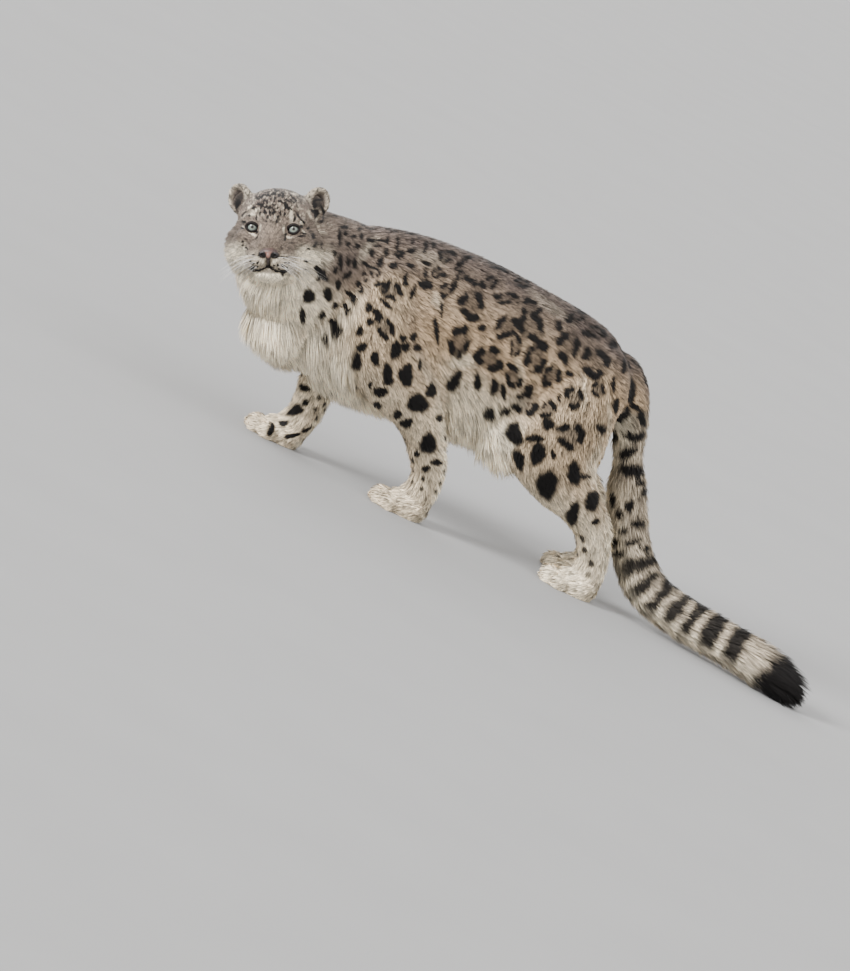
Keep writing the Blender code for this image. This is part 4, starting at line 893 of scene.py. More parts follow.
def mark_masks(points, normals, marks):
    """How dark each point is from the marks, how deep in a ring it lies, and how light from pale marks.

    A spot is 1 within its ellipse, whose edge waves by sines of the angle. A ring is 1 near 0.76 of the way
    out and thins where slow sines fall below zero.
    """
    dark, centre, light = np.zeros((3, len(points)))
    for mark in marks:
        number = mark["number"]
        reach = 1.5 * reach_of(mark)
        offset = points - mark["place"]
        near = np.nonzero((np.abs(offset) < reach).all(1))[0]
        if not len(near):
            continue
        near = near[(normals[near] @ mark["normal"]) > 0.15]
        flat = offset[near] @ mark["scale"].T
        angle = np.arctan2(flat[:, 1], flat[:, 0])
        wave = 0.10 * np.sin(2 * angle + 2.1 * number) + 0.08 * np.sin(3 * angle + 1.3 * number)
        wave = wave + 0.05 * np.sin(7 * angle + 4.7 * number)
        off = np.hypot(flat[:, 0], flat[:, 1]) * (1.0 + wave)
        if mark["kind"] in PALE_SHARES:
            light[near] = np.maximum(light[near], PALE_SHARES[mark["kind"]] * smoothstep(1.45, 0.35, off))
            continue
        spot = smoothstep(1.0 + MARK_EDGE, 1.0 - MARK_EDGE, off)
        if mark["kind"] == RING:
            broken = smoothstep(-1.0, -0.4, np.sin(3 * angle + 2.9 * number) + 0.6 * np.sin(5 * angle + number))
            spot = smoothstep(RING_WIDTH, RING_WIDTH * 0.5, np.abs(off - 0.76)) * (0.35 + 0.65 * broken)
            centre[near] = np.maximum(centre[near], smoothstep(0.90, 0.50, off))
        dark[near] = np.maximum(dark[near], spot * mark["dark"])
    return dark, centre, light


# Marks where the photo shows none: (spacing, half length, half width, ring, darkness)
FILL = {
    "trunk": (0.048, 0.022, 0.016, 1, 0.95),
    "neck": (0.021, 0.010, 0.0060, 0, 0.95),
    "front_left": (0.040, 0.013, 0.010, 0, 0.95),
    "front_right": (0.040, 0.013, 0.010, 0, 0.95),
    "hind_left": (0.050, 0.018, 0.013, 0, 0.95),
    "hind_right": (0.050, 0.018, 0.013, 0, 0.95),
    "tail": (0.044, 0.018, 0.013, 0, 0.9),
    "head": (0.013, 0.0048, 0.0030, 0, 0.85),
}


def fill_marks(points, normals, fields, marks, rng):
    """Seeded darts thrown at the skin, kept where no mark is nearer than the spacing of the place."""
    order = rng.permutation(len(points))[:6000]
    names = np.array(PARTS)[np.stack([fields["weight"][p] for p in PARTS], 1).argmax(1)]
    places = [mark["place"] for mark in marks]
    reaches = [reach_of(mark) for mark in marks]
    made = []
    for k in order:
        spacing, length, width, kind, dark = FILL[names[k]]
        size, ring = 1.0, kind
        height, head = fields["height"][k], fields["head"][k]
        if names[k] in LEGS:
            size = np.interp(height, (0.02, 0.08, 0.25, 0.40), (0.35, 0.5, 0.8, 1.2))
            spacing = spacing * (1.0 + 0.9 * smoothstep(0.10, 0.06, height))
            if normals[k, 2] < -0.3 and height < 0.08:
                continue
            inner = -normals[k, 0] * math.copysign(1.0, points[k, 0] - PLACE[0])
            inner = smoothstep(0.2, 0.8, inner) * smoothstep(0.12, 0.25, height)
            dark = dark * (1.0 - 0.75 * inner) * (1.0 - 0.35 * smoothstep(0.09, 0.05, height))
            if names[k].startswith("hind") and height < 0.24 and normals[k, 1] > -0.15:
                continue
        if names[k] == "head":
            face = head[1] < 0.02 and (head[2] < 0.030 or abs(head[0]) > 0.052)
            if face or fields["ear"][k] > 0.3:
                continue
            size = 1.0 + 0.9 * smoothstep(0.0, 0.06, head[1])
        if names[k] == "trunk":
            size = 1.0 - 0.35 * smoothstep(0.3, 0.9, normals[k, 2])
            if fields["under"][k] > 0.25:
                spacing, length, width, ring, dark = 0.075, 0.016, 0.010, 0, 0.45
        if names[k] == "tail" and fields["share"]["tail"][k] > 0.42:
            continue
        if fields["front"][k] > 0.3:
            continue
        off = np.linalg.norm(np.array(places) - points[k], axis=1) - np.array(reaches) if places else np.array([9.0])
        if off.min() < spacing * size * 0.60:
            continue
        mark = mark_on_skin(points[k], normals[k], fields["lie"][k], length * size, width * size, ring, dark)
        places.append(points[k])
        reaches.append(length * size * 0.6)
        made.append(mark)
    return made


# Rings of the tail as (share along the tail, half width in share, darkness)
TAIL_RINGS = ((0.455, 0.022, 0.97), (0.520, 0.018, 0.97), (0.583, 0.021, 0.98), (0.643, 0.018, 0.97),
              (0.706, 0.022, 0.98), (0.775, 0.024, 0.98), (0.850, 0.026, 0.98), (1.000, 0.046, 1.0))


def tail_ring_mask(points, normals, share, weight):
    """Dark where the share along the tail, shaken by noise, is within a ring's half width of its middle.

    The rings fade towards the underside, but not the tip.
    """
    shaken = share + 0.012 * noise(points, 0.040, 31) + 0.006 * noise(points, 0.015, 32)
    mask = np.zeros(len(points))
    for middle, half, dark in TAIL_RINGS:
        line = smoothstep(1.3 * half, 0.8 * half, np.abs(shaken - middle))
        mask = np.maximum(mask, dark * line * smoothstep(-0.95, -0.55, noise(points, 0.05, 40 + middle)))
    under = smoothstep(-0.25, -0.80, normals[:, 2]) * smoothstep(0.93, 0.90, share)
    return mask * (1.0 - 0.8 * under) * smoothstep(0.3, 0.7, weight)


def darkness(points, normals, fields, marks):
    """How dark and how ring-centred each place is, from the marks, the tail's rings, the ears' dark backs, and painted
    shade in the nostrils and the ears' hollows.
    """
    dark, centre, light = mark_masks(points, normals, marks)
    weight, head = fields["weight"], to_head(points)
    if weight["tail"].max() > 0.3:
        _, share, _ = along_axis(points, "tail")
        dark = np.maximum(dark, tail_ring_mask(points, normals, share, weight["tail"]))
    legs = sum(weight[name] for name in LEGS)
    dark = np.maximum(dark, CENTRE_SHADE * centre * (weight["trunk"] + legs))
    dark = np.maximum(dark, head_speckle(head, fields) * (1.0 - light))
    # Painted shade: the skin and tufts in and around the nostrils turn black
    folded = np.stack([np.abs(head[:, 0]), head[:, 1], head[:, 2]], 1)
    nostril = np.linalg.norm((folded - NOSTRIL_PLACE) / (0.0105, 0.0200, 0.0078), axis=1)
    dark = np.maximum(dark, weight["head"] * smoothstep(1.25, 0.95, nostril))
    # Painted shade in the front hollow of each ear: darker towards the middle of the cup
    hollow_shade = fields["ear"] * smoothstep(0.2, 0.7, -fields["facing"][:, 1])
    dark = np.maximum(dark, 0.88 * hollow_shade * smoothstep(0.024, 0.013, ear_cup_distance(head)))
    ear_back = fields["ear"] * smoothstep(0.0, 0.6, fields["facing"][:, 1])
    dark = np.maximum(dark, 0.75 * ear_back * smoothstep(0.006, 0.018, ear_cup_distance(head)))
    return dark, centre, light


def head_speckle(head, fields):
    """Close dark specks of the crown: where two noises, stretched along the coat, pass a level.

    The ears' rims have finer ones, the cheeks a faint mottle, and the bridge darkens over the nose.
    """
    along = head * (1.0, 0.62, 0.62)
    level = noise(along, 0.0042, 21) + 0.40 * noise(along, 0.0022, 22)
    side = np.abs(head[:, 0])
    crown = smoothstep(0.012, 0.034, head[:, 2]) * smoothstep(0.066, 0.040, side)
    crown = np.maximum(crown, 0.75 * smoothstep(-0.01, 0.04, head[:, 2]) * smoothstep(-0.03, 0.02, head[:, 1]))
    between = 0.85 * smoothstep(-0.002, 0.018, head[:, 2]) * smoothstep(0.030, 0.018, side)
    crown = np.maximum(crown, between) * fields["weight"]["head"] * (1.0 - fields["ear"])
    rim = fields["ear"] * smoothstep(0.016, 0.024, ear_cup_distance(head))
    fine = noise(head, 0.0042, 23) + 0.5 * noise(head, 0.0021, 24)
    face = fields["weight"]["head"] * (1.0 - fields["ear"]) * smoothstep(-0.080, -0.055, head[:, 2])
    mottle = 0.36 * face * smoothstep(0.05, 0.50, fine)
    over_nose = smoothstep(0.032, 0.018, side) * smoothstep(-0.016, -0.036, head[:, 2])
    over_nose = 0.34 * over_nose * fields["weight"]["head"] * smoothstep(-0.060, -0.050, head[:, 2])
    rim = 0.85 * rim * smoothstep(-0.02, 0.24, fine)
    return np.maximum.reduce([crown * smoothstep(0.06, 0.20, level), rim, mottle, over_nose])


def colours(points, normals, fields, centre, light):
    """Three numbers that colour the coat between its marks: warm, pale and grey, each from 0 to 1."""
    weight, head = fields["weight"], fields["head"]
    up = normals[:, 2]
    legs = sum(weight[name] for name in LEGS)
    trunk, neck, tail, in_head = weight["trunk"], weight["neck"], weight["tail"], weight["head"]
    low = smoothstep(0.36, 0.27, fields["height"])
    belly_side = 0.32 * smoothstep(0.42, 0.30, fields["height"]) * smoothstep(-0.40, -0.30, fields["back"])
    pale = trunk * np.maximum(smoothstep(0.05, -0.55, up), low * smoothstep(0.3, -0.2, up))
    pale = np.maximum(pale, trunk * belly_side)
    pale = np.maximum(pale, fields["front"] * (0.95 - 0.24 * smoothstep(0.31, 0.40, fields["height"])))
    pale = np.maximum(pale, fields["under"])
    pale = pale + tail * (0.31 + 0.45 * smoothstep(0.2, -0.6, up))
    inner = smoothstep(0.1, 0.9, -normals[:, 0] * np.sign(points[:, 0] - PLACE[0]))
    inner = inner * smoothstep(0.10, 0.25, fields["height"])
    behind = smoothstep(0.4, 0.95, normals[:, 1])
    shank = (weight["hind_left"] + weight["hind_right"]) * smoothstep(0.24, 0.15, fields["height"])
    fore = (weight["front_left"] + weight["front_right"]) * smoothstep(0.34, 0.24, fields["height"])
    low_leg = 0.14 + 0.16 * smoothstep(0.30, 0.20, fields["height"])
    pale = pale + legs * np.clip(0.65 * inner + 0.75 * behind + low_leg, 0.0, 1.0) + 0.45 * shank + 0.22 * fore
    side = np.abs(head[:, 0])
    chin = smoothstep(-0.092, -0.104, head[:, 2])
    cheek = smoothstep(-0.025, -0.055, head[:, 2]) * smoothstep(0.046, 0.066, side)
    sides = 0.30 * smoothstep(-0.045, -0.070, head[:, 2])
    ruff = 0.70 * fields["ruff"] * smoothstep(-0.015, -0.055, head[:, 2])
    pale_head = np.maximum.reduce([0.95 * chin, 0.88 * cheek, sides, ruff])
    pale = np.clip(pale + in_head * pale_head + neck * smoothstep(0.2, -0.5, up), 0.0, 1.0)
    tail_root = tail * smoothstep(0.40, 0.10, fields["share"]["tail"])
    grey = trunk * smoothstep(0.0, 0.95, up) + 0.85 * neck * smoothstep(-0.4, 0.4, up) + 0.35 * tail
    grey = grey + in_head * (0.72 + 0.13 * smoothstep(0.02, 0.06, head[:, 2]))
    grey = np.clip(grey, 0.0, 1.0) * (1.0 - 0.8 * fields["front"])
    warm = np.clip(trunk + legs + fields["front"] + 0.25 * tail + 0.35 * tail_root, 0.0, 1.0) * (1.0 - 0.6 * grey)
    bridge = in_head * smoothstep(0.026, 0.012, side) * smoothstep(0.010, -0.020, head[:, 2])
    warm = np.maximum(warm, 0.20 * bridge)
    blotch = noise(points, 0.060, 11) * 0.5 + noise(points, 0.022, 12) * 0.5
    warm = np.clip(warm * (0.85 + 0.35 * blotch), 0.0, 1.0)
    grey = np.clip(np.maximum(grey, 0.45 * centre) + 0.15 * blotch, 0.0, 1.0)
    flecks = in_head * (1.0 - fields["ear"]) * smoothstep(0.0, 0.03, head[:, 2])
    flecks = 0.26 * flecks * smoothstep(0.12, 0.34, noise(head * (1.0, 0.62, 0.62), 0.0040, 26))
    rim = fields["ear"] * smoothstep(0.014, 0.022, ear_cup_distance(head))
    light = light * (1.0 - 0.62 * trunk * smoothstep(0.30, 0.75, up))
    pale = np.maximum.reduce([pale, light, 0.30 * rim, flecks])
    return np.stack([warm, np.clip(pale, 0.0, 1.0), grey], 1)


def ear_cup_distance(head):
    """How far a place lies from the middle line of an ear's hollow, across the ear."""
    place = np.stack([np.abs(head[:, 0]), head[:, 1], head[:, 2]], 1) - EAR_PLACE
    local = place @ turned(EAR_LEAN)
    return np.hypot(local[:, 0], (local[:, 2] + 0.002) * 0.7)


# Materials

def shader_group(name, inputs, outputs):
    """An empty node group with named sockets, and its input and output nodes."""
    tree = bpy.data.node_groups.new(name, "ShaderNodeTree")
    for label, kind, value in inputs:
        socket = tree.interface.new_socket(label, in_out="INPUT", socket_type=kind)
        if value is not None:
            socket.default_value = value
    for label, kind in outputs:
        tree.interface.new_socket(label, in_out="OUTPUT", socket_type=kind)
    return tree, tree.nodes.new("NodeGroupInput"), tree.nodes.new("NodeGroupOutput")


def node(tree, kind, links=None, **values):
    """A new node with its properties set, its numbered or named inputs set or linked."""
    made = tree.nodes.new(kind)
    for key, value in values.items():
        setattr(made, key, value)
    for key, value in (links or {}).items():
        if isinstance(value, bpy.types.NodeSocket):
            tree.links.new(value, made.inputs[key])
        else:
            made.inputs[key].default_value = value
    return made


def mix_colour(tree, factor, first, second, blend="MIX"):
    """A Mix node for colours, and its result."""
    made = node(tree, "ShaderNodeMix", data_type="RGBA", blend_type=blend)
    for key, value in ((0, factor), (6, first), (7, second)):
        if isinstance(value, bpy.types.NodeSocket):
            tree.links.new(value, made.inputs[key])
        else:
            made.inputs[key].default_value = value
    return made.outputs[2]


def maths(tree, operation, *values):
    made = node(tree, "ShaderNodeMath", operation=operation)
    for k, value in enumerate(values):
        if isinstance(value, bpy.types.NodeSocket):
            tree.links.new(value, made.inputs[k])
        else:
            made.inputs[k].default_value = value
    return made.outputs[0]


GREY_FUR = (0.118, 0.090, 0.076, 1.0)
WARM_FUR = (0.540, 0.385, 0.234, 1.0)
BUFF_FUR = (0.350, 0.278, 0.205, 1.0)
CREAM_FUR = (0.980, 0.870, 0.665, 1.0)
BLACK_FUR = (0.0070, 0.0060, 0.0058, 1.0)


def coat_colour_group():
    """Fur colour from the painted numbers: buff, then warm, grey and cream, then the black marks."""
    results = (("Colour", "NodeSocketColor"), ("Grain", "NodeSocketFloat"))
    tree, given, result = shader_group("fur_colours", (("Root shade", "NodeSocketFloat", 0.40),), results)
    painted = node(tree, "ShaderNodeAttribute", attribute_name="painted")
    parts = node(tree, "ShaderNodeSeparateColor", {0: painted.outputs["Color"]})
    tuft = node(tree, "ShaderNodeAttribute", attribute_name="tuft")
    tone = node(tree, "ShaderNodeSeparateColor", {0: tuft.outputs["Color"]})
    place = node(tree, "ShaderNodeTexCoord").outputs["Object"]
    speckle = node(tree, "ShaderNodeTexNoise", {"Vector": place, "Scale": 240.0, "Detail": 2.0}).outputs["Fac"]
    warmed = mix_colour(tree, parts.outputs["Green"], BUFF_FUR, WARM_FUR)
    greyed = mix_colour(tree, painted.outputs["Alpha"], warmed, GREY_FUR)
    paled = mix_colour(tree, parts.outputs["Blue"], greyed, CREAM_FUR)
    # Tone varies the lightness of each tuft, and the root lies in the shade of the coat
    light = maths(tree, "MULTIPLY_ADD", tone.outputs["Green"], 1.05, 0.50)
    depth = maths(tree, "SUBTRACT", 1.0, given.outputs["Root shade"])
    depth = maths(tree, "MULTIPLY_ADD", tone.outputs["Red"], given.outputs["Root shade"], depth)
    light = maths(tree, "MULTIPLY", light, depth)
    grain = maths(tree, "MULTIPLY_ADD", speckle, 0.70, 0.65)
    light = maths(tree, "MULTIPLY", light, grain)
    shade = node(tree, "ShaderNodeCombineColor", {0: light, 1: light, 2: light}).outputs[0]
    lit = mix_colour(tree, 1.0, paled, shade, "MULTIPLY")
    colour = mix_colour(tree, parts.outputs["Red"], lit, BLACK_FUR)
    tree.links.new(colour, result.inputs["Colour"])
    tree.links.new(speckle, result.inputs["Grain"])
    return tree


def new_material(name, colour, roughness, specular=0.5):
    made = bpy.data.materials.new(name)
    made.use_nodes = True
    shader = made.node_tree.nodes["Principled BSDF"]
    shader.inputs["Base Color"].default_value = colour
    shader.inputs["Roughness"].default_value = roughness
    shader.inputs["Specular IOR Level"].default_value = specular
    made.diffuse_color = colour
    return made, made.node_tree, shader


def fur_material(name, group, roughness, specular):
    """Fur: the colours of the group, a rough low gloss and a faint sheen."""
    made, tree, shader = new_material(name, BUFF_FUR, roughness, specular)
    colours = node(tree, "ShaderNodeGroup", node_tree=group)
    tree.links.new(colours.outputs["Colour"], shader.inputs["Base Color"])
    shader.inputs["Sheen Weight"].default_value = 0.04
    shader.inputs["Sheen Roughness"].default_value = 0.5
    return made


def skin_material(group):
    """The skin under the fur: the same colours with a fine grain in its bump."""
    made = fur_material("skin_fur", group, 0.85, 0.15)
    tree = made.node_tree
    shader = tree.nodes["Principled BSDF"]
    colours = next(n for n in tree.nodes if n.bl_idname == "ShaderNodeGroup")
    bump = node(tree, "ShaderNodeBump", {"Height": colours.outputs["Grain"], "Strength": 0.5, "Distance": 0.001})
    tree.links.new(bump.outputs[0], shader.inputs["Normal"])
    return made


# Tufts

# Pieces of the coat: (name, number of tufts)
COAT_PIECES = (
    ("coat_head_left", 34000), ("coat_head_right", 34000), ("coat_neck", 24000), ("coat_chest", 14000),
    ("coat_flank_left", 30000), ("coat_flank_right", 30000), ("coat_belly", 12000), ("coat_tail", 26000),
    ("coat_front_left", 14000), ("coat_front_right", 14000), ("coat_hind_left", 19000), ("coat_hind_right", 19000),
)
TUFT_STEPS = np.array((0.0, 0.38, 0.72, 1.0))
TUFT_WIDTHS = np.array((0.75, 1.0, 0.62, 0.0))
TUFT_CORNERS = np.array(((0, 3, 1), (0, 2, 3), (2, 5, 3), (2, 4, 5), (4, 6, 5)))
TUFT_SIDES = np.array((-1, 1, -1, 1, -1, 1, 0))
TUFT_ROWS = np.array((0, 0, 1, 1, 2, 2, 3))
PATCH = 0.003
CLUMPING = 0.45
PEPPER_SHARE, PEPPER_SHADE = 0.13, 0.60


def piece_of(points, fields):
    """The number of the coat piece that each point belongs to, from its weightiest part and its side."""
    names = [name for name, _ in COAT_PIECES]
    best = np.stack([fields["weight"][part] for part in PARTS], 1).argmax(1)
    left = points[:, 0] > PLACE[0]
    piece = np.zeros(len(points), int)
    trunk = np.where(left, names.index("coat_flank_left"), names.index("coat_flank_right"))
    trunk = np.where(fields["under"] > 0.45, names.index("coat_belly"), trunk)
    head = np.where(fields["head"][:, 0] > 0, names.index("coat_head_left"), names.index("coat_head_right"))
    for k, part in enumerate(PARTS):
        if part == "trunk":
            value = trunk
        elif part == "head":
            value = head
        else:
            value = names.index("coat_" + part)
        piece = np.where(best == k, value, piece)
    chest = (fields["front"] > 0.45) & ((best == 0) | (best == 1))
    return np.where(chest, names.index("coat_chest"), piece)


def scattered(points, triangles, density, count, rng):
    """Evenly spread roots: triangle numbers and corner shares, by systematic draws on the weighted area."""
    a, b, c = (points[triangles[:, k]] for k in range(3))
    area = 0.5 * np.linalg.norm(np.cross(b - a, c - a), axis=1) * density
    ends = np.cumsum(area)
    draws = (np.arange(count) + rng.random(count)) / count * ends[-1]
    number = np.minimum(np.searchsorted(ends, draws), len(triangles) - 1)
    first, second = rng.random(count), rng.random(count)
    over = first + second > 1.0
    first, second = np.where(over, 1.0 - first, first), np.where(over, 1.0 - second, second)
    return number, np.stack([1.0 - first - second, first, second], 1)


def chart(points, fields, piece):
    """Places on the unit square: round and along a limb, or longitude and latitude about the head."""
    name = COAT_PIECES[piece][0][5:]
    if name.startswith("head"):
        head = fields["head"] - np.array((0.0, -0.02, -0.01))
        round_ = np.arctan2(np.abs(head[:, 0]), -head[:, 1]) / np.pi
        along = np.arccos(np.clip(head[:, 2] / np.linalg.norm(head, axis=1), -1.0, 1.0)) / np.pi
    else:
        part = {"flank_left": "trunk", "flank_right": "trunk", "belly": "trunk", "chest": "trunk"}.get(name, name)
        line, _ = AXES[part]
        off, along, way = along_axis(points, part)
        nearest = ((points[:, None] - line) ** 2).sum(-1).argmin(1)
        offset = points - line[nearest]
        right = unit(np.cross(way, (0.0, 0.3, 1.0)))
        above = np.cross(right, way)
        round_ = (np.arctan2((offset * right).sum(-1), (offset * above).sum(-1)) / np.pi + 1.0) / 2
    both = np.stack([round_, along], 1)
    low, high = both.min(0), both.max(0)
    return 0.01 + 0.98 * (both - low) / np.maximum(high - low, 1e-6)


def clump_pull(roots, tips, size, seed):
    """The tip that each tuft's clump shares, and the clump's tone.

    A clump is the tufts whose roots share a cell. Cell sizes are held to steps of 1.35, and cells of unlike
    sizes never meet.
    """
    step = np.round(np.log(size / 0.004) / np.log(1.35))
    held = 0.004 * 1.35**step
    shaken = roots / held[:, None] + 0.35 * np.stack([noise(roots, 0.03, seed + k) for k in range(3)], 1)
    cells = np.column_stack([np.floor(shaken), step])
    _, group = np.unique(cells.astype(np.int64), axis=0, return_inverse=True)
    group = group.ravel()
    count = np.bincount(group)
    mean = np.stack([np.bincount(group, tips[:, k]) / count for k in range(3)], 1)
    return mean[group], lattice(np.stack([group, group, group], 1).astype(float), seed)


def grow_piece(piece, skin, marks, rng):
    """One piece of the coat as a mesh of tufts.

    A tuft's middle line is root + length * (lie * t * cos + normal * sin * (t - 0.4 t * t) - up * droop * t * t),
    its tip pulled to its clump's, and it is five triangles wide across the lie.
    """
    name, count = COAT_PIECES[piece]
    triangles = skin["triangles"][skin["piece"] == piece]
    chosen, corners = scattered(skin["points"], triangles, np.ones(len(triangles)), count, rng)
    index = triangles[chosen]

    def at(values):
        if values.ndim == 2:
            return (values[index] * corners[..., None]).sum(1)
        return (values[index] * corners).sum(1)

    keep = rng.random(count) > at(skin["bare"])
    index, corners = index[keep], corners[keep]
    roots, normals = at(skin["points"]), unit(at(skin["normals"]))
    field = fields_at(skin["fields"], index, corners)
    lie = unit(field["lie"])
    count = len(roots)
    vary = rng.random((count, 6))
    length = field["length"] * (0.72 + 0.5 * vary[:, 0])
    across = np.cross(normals, lie)
    loose = 0.30 + 0.35 * np.clip(field["front"] + field["under"], 0.0, 1.0)
    lie = unit(lie + across * (loose * (vary[:, 1] - 0.5))[:, None])
    stand = np.clip(field["stand"] * (0.65 + 0.7 * vary[:, 2]), 0.05, 0.95)
    level = np.sqrt(1.0 - stand**2)
    t = TUFT_STEPS[:, None, None]
    middle = roots + length[:, None] * (lie * level[:, None] * t + normals * stand[:, None] * (t - 0.4 * t * t))
    droop = length * field["droop"]
    middle[..., 2] -= droop * TUFT_STEPS[:, None] ** 2
    shared, clump_tone = clump_pull(roots, middle[-1], np.maximum(field["clump"], 0.004), 50 + piece)
    pull = (CLUMPING * TUFT_STEPS**1.5)[:, None, None]
    middle = middle + (shared - middle[-1]) * pull
    middle[..., 2] = np.maximum(middle[..., 2], 0.0012)
    tilt = 0.9 * (vary[:, 3:4] - 0.5)
    wide = unit(np.cross(normals, lie) * np.cos(tilt) + normals * np.sin(tilt))
    half = 0.5 * field["width"] * (0.75 + 0.5 * vary[:, 4])
    offset = wide * half[:, None]
    points = middle[TUFT_ROWS] + offset * (TUFT_SIDES * TUFT_WIDTHS[TUFT_ROWS])[:, None, None]
    points = points.transpose(1, 0, 2).reshape(-1, 3)
    points[:, 2] = np.maximum(points[:, 2], 0.0004)
    corners = (np.arange(count)[:, None, None] * len(TUFT_ROWS) + TUFT_CORNERS).reshape(-1, 3)
    mesh = new_mesh(name, points, corners)
    shaken = rng.normal(0.0, 1.0, (count, 3)) * (0.05 * field["clump"])[:, None]
    near = marks_near(middle.reshape(-1, 3), marks)
    rows = [darkness(row + shaken, normals, field, near) for row in middle[1:]]
    rest = colours(middle[2], normals, field, rows[1][1], rows[1][2])
    pepper = PEPPER_SHADE * (rng.random(count) < PEPPER_SHARE) * (1.0 - rest[:, 1])
    dark = np.maximum(np.stack([rows[0][0], rows[0][0], rows[1][0], rows[2][0]], 1), pepper[:, None])
    painted = np.concatenate([dark[..., None], np.repeat(rest[:, None], len(TUFT_STEPS), axis=1)], -1)
    lean = unit(0.8 * normals + 0.35 * unit(middle[-1] - roots))
    tone = np.clip(0.5 + 0.35 * (2 * vary[:, 5] - 1) + 0.30 * (2 * clump_tone - 1), 0.0, 1.0)
    finish_tufts(mesh, painted[:, TUFT_ROWS].reshape(-1, 4), tone, lean, chart(roots, field, piece), count)
    return new_object(name, mesh)


def fields_at(values, index, corners):
    """A field of the skin's vertices, or a dictionary of them, read at places inside its triangles."""
    if isinstance(values, dict):
        return {key: fields_at(part, index, corners) for key, part in values.items()}
    share = corners.reshape(corners.shape + (1,) * (values.ndim - 1))
    return (values[index] * share).sum(1)


def finish_tufts(mesh, painted, tone, lean, places, count):
    """Writes what the materials read, the soft normals and the OFBake map of a mesh of tufts."""
    size = len(TUFT_ROWS)
    layer = mesh.attributes.new("painted", "FLOAT_COLOR", "POINT")
    layer.data.foreach_set("color", painted.astype(np.float32).ravel())
    along = np.tile(TUFT_STEPS[TUFT_ROWS], count)
    extra = np.stack([along, np.repeat(tone, size), np.zeros(count * size), np.ones(count * size)], 1)
    tufts = mesh.attributes.new("tuft", "FLOAT_COLOR", "POINT")
    tufts.data.foreach_set("color", extra.astype(np.float32).ravel())
    offset = np.stack([TUFT_SIDES * 0.5, TUFT_STEPS[TUFT_ROWS] - 0.5], 1) * PATCH
    per_corner = (places[:, None] + offset[TUFT_CORNERS.ravel()]).reshape(-1, 2)
    bake = mesh.uv_layers.new(name="OFBake")
    bake.uv.foreach_set("vector", np.clip(per_corner, 0.0, 1.0).astype(np.float32).ravel())
    mesh.normals_split_custom_set_from_vertices(np.repeat(lean, size, axis=0))


# Eyes, lids, nose, lips and whiskers

def tube(points, radii, spokes=8):
    """A closed tube: rings of the given radii across the curve through the points."""
    points, radii = np.asarray(points, float), np.asarray(radii, float)
    side = (0.3, 0.2, 1.0) if abs(unit(points[-1] - points[0])[2]) < 0.8 else (1.0, 0.2, 0.1)
    return loft(points, radii, radii, side=side, spokes=spokes)


def eye_piece(name, side):
    """An eyeball as rings about the line of sight, with a low dome over the iris. Ring is the angle off it."""
    centre = from_head((side * EYE_PLACE[0], *EYE_PLACE[1:]))
    forward = unit(BACKWARD + 0.25 * (from_head((0.0, -1.0, 0.0)) - HEAD_ORIGIN))
    wide = unit(np.cross(forward, (0.0, 0.0, 1.0)))
    high = np.cross(wide, forward)
    angle = np.linspace(0.02, np.pi - 0.05, 72)[::-1, None]
    turn = np.linspace(0.0, 2 * np.pi, 64, endpoint=False)
    radius = EYE_RADIUS * (0.985 + 0.035 * smoothstep(0.75, 0.0, angle))
    spin = np.stack([np.sin(angle) * np.cos(turn), np.sin(angle) * np.sin(turn), np.cos(angle) + 0 * turn], -1)
    axes = np.stack([wide, high, forward])
    if np.linalg.det(axes) < 0:
        axes[0] *= -1
    points, triangles = closed((spin * radius[..., None]) @ axes + centre)
    obj = new_object(name, new_mesh(name, points, triangles))
    ring = np.append(np.repeat(angle.ravel(), len(turn)), (np.pi, 0.0))
    fibre = np.append(np.tile(turn, len(angle)), (0.0, 0.0))
    extra = np.stack([ring / np.pi, 0.5 + 0.5 * np.cos(fibre), 0.5 + 0.5 * np.sin(fibre), np.ones(len(ring))], 1)
    layer = obj.data.attributes.new("iris", "FLOAT_COLOR", "POINT")
    layer.data.foreach_set("color", extra.astype(np.float32).ravel())
    return obj


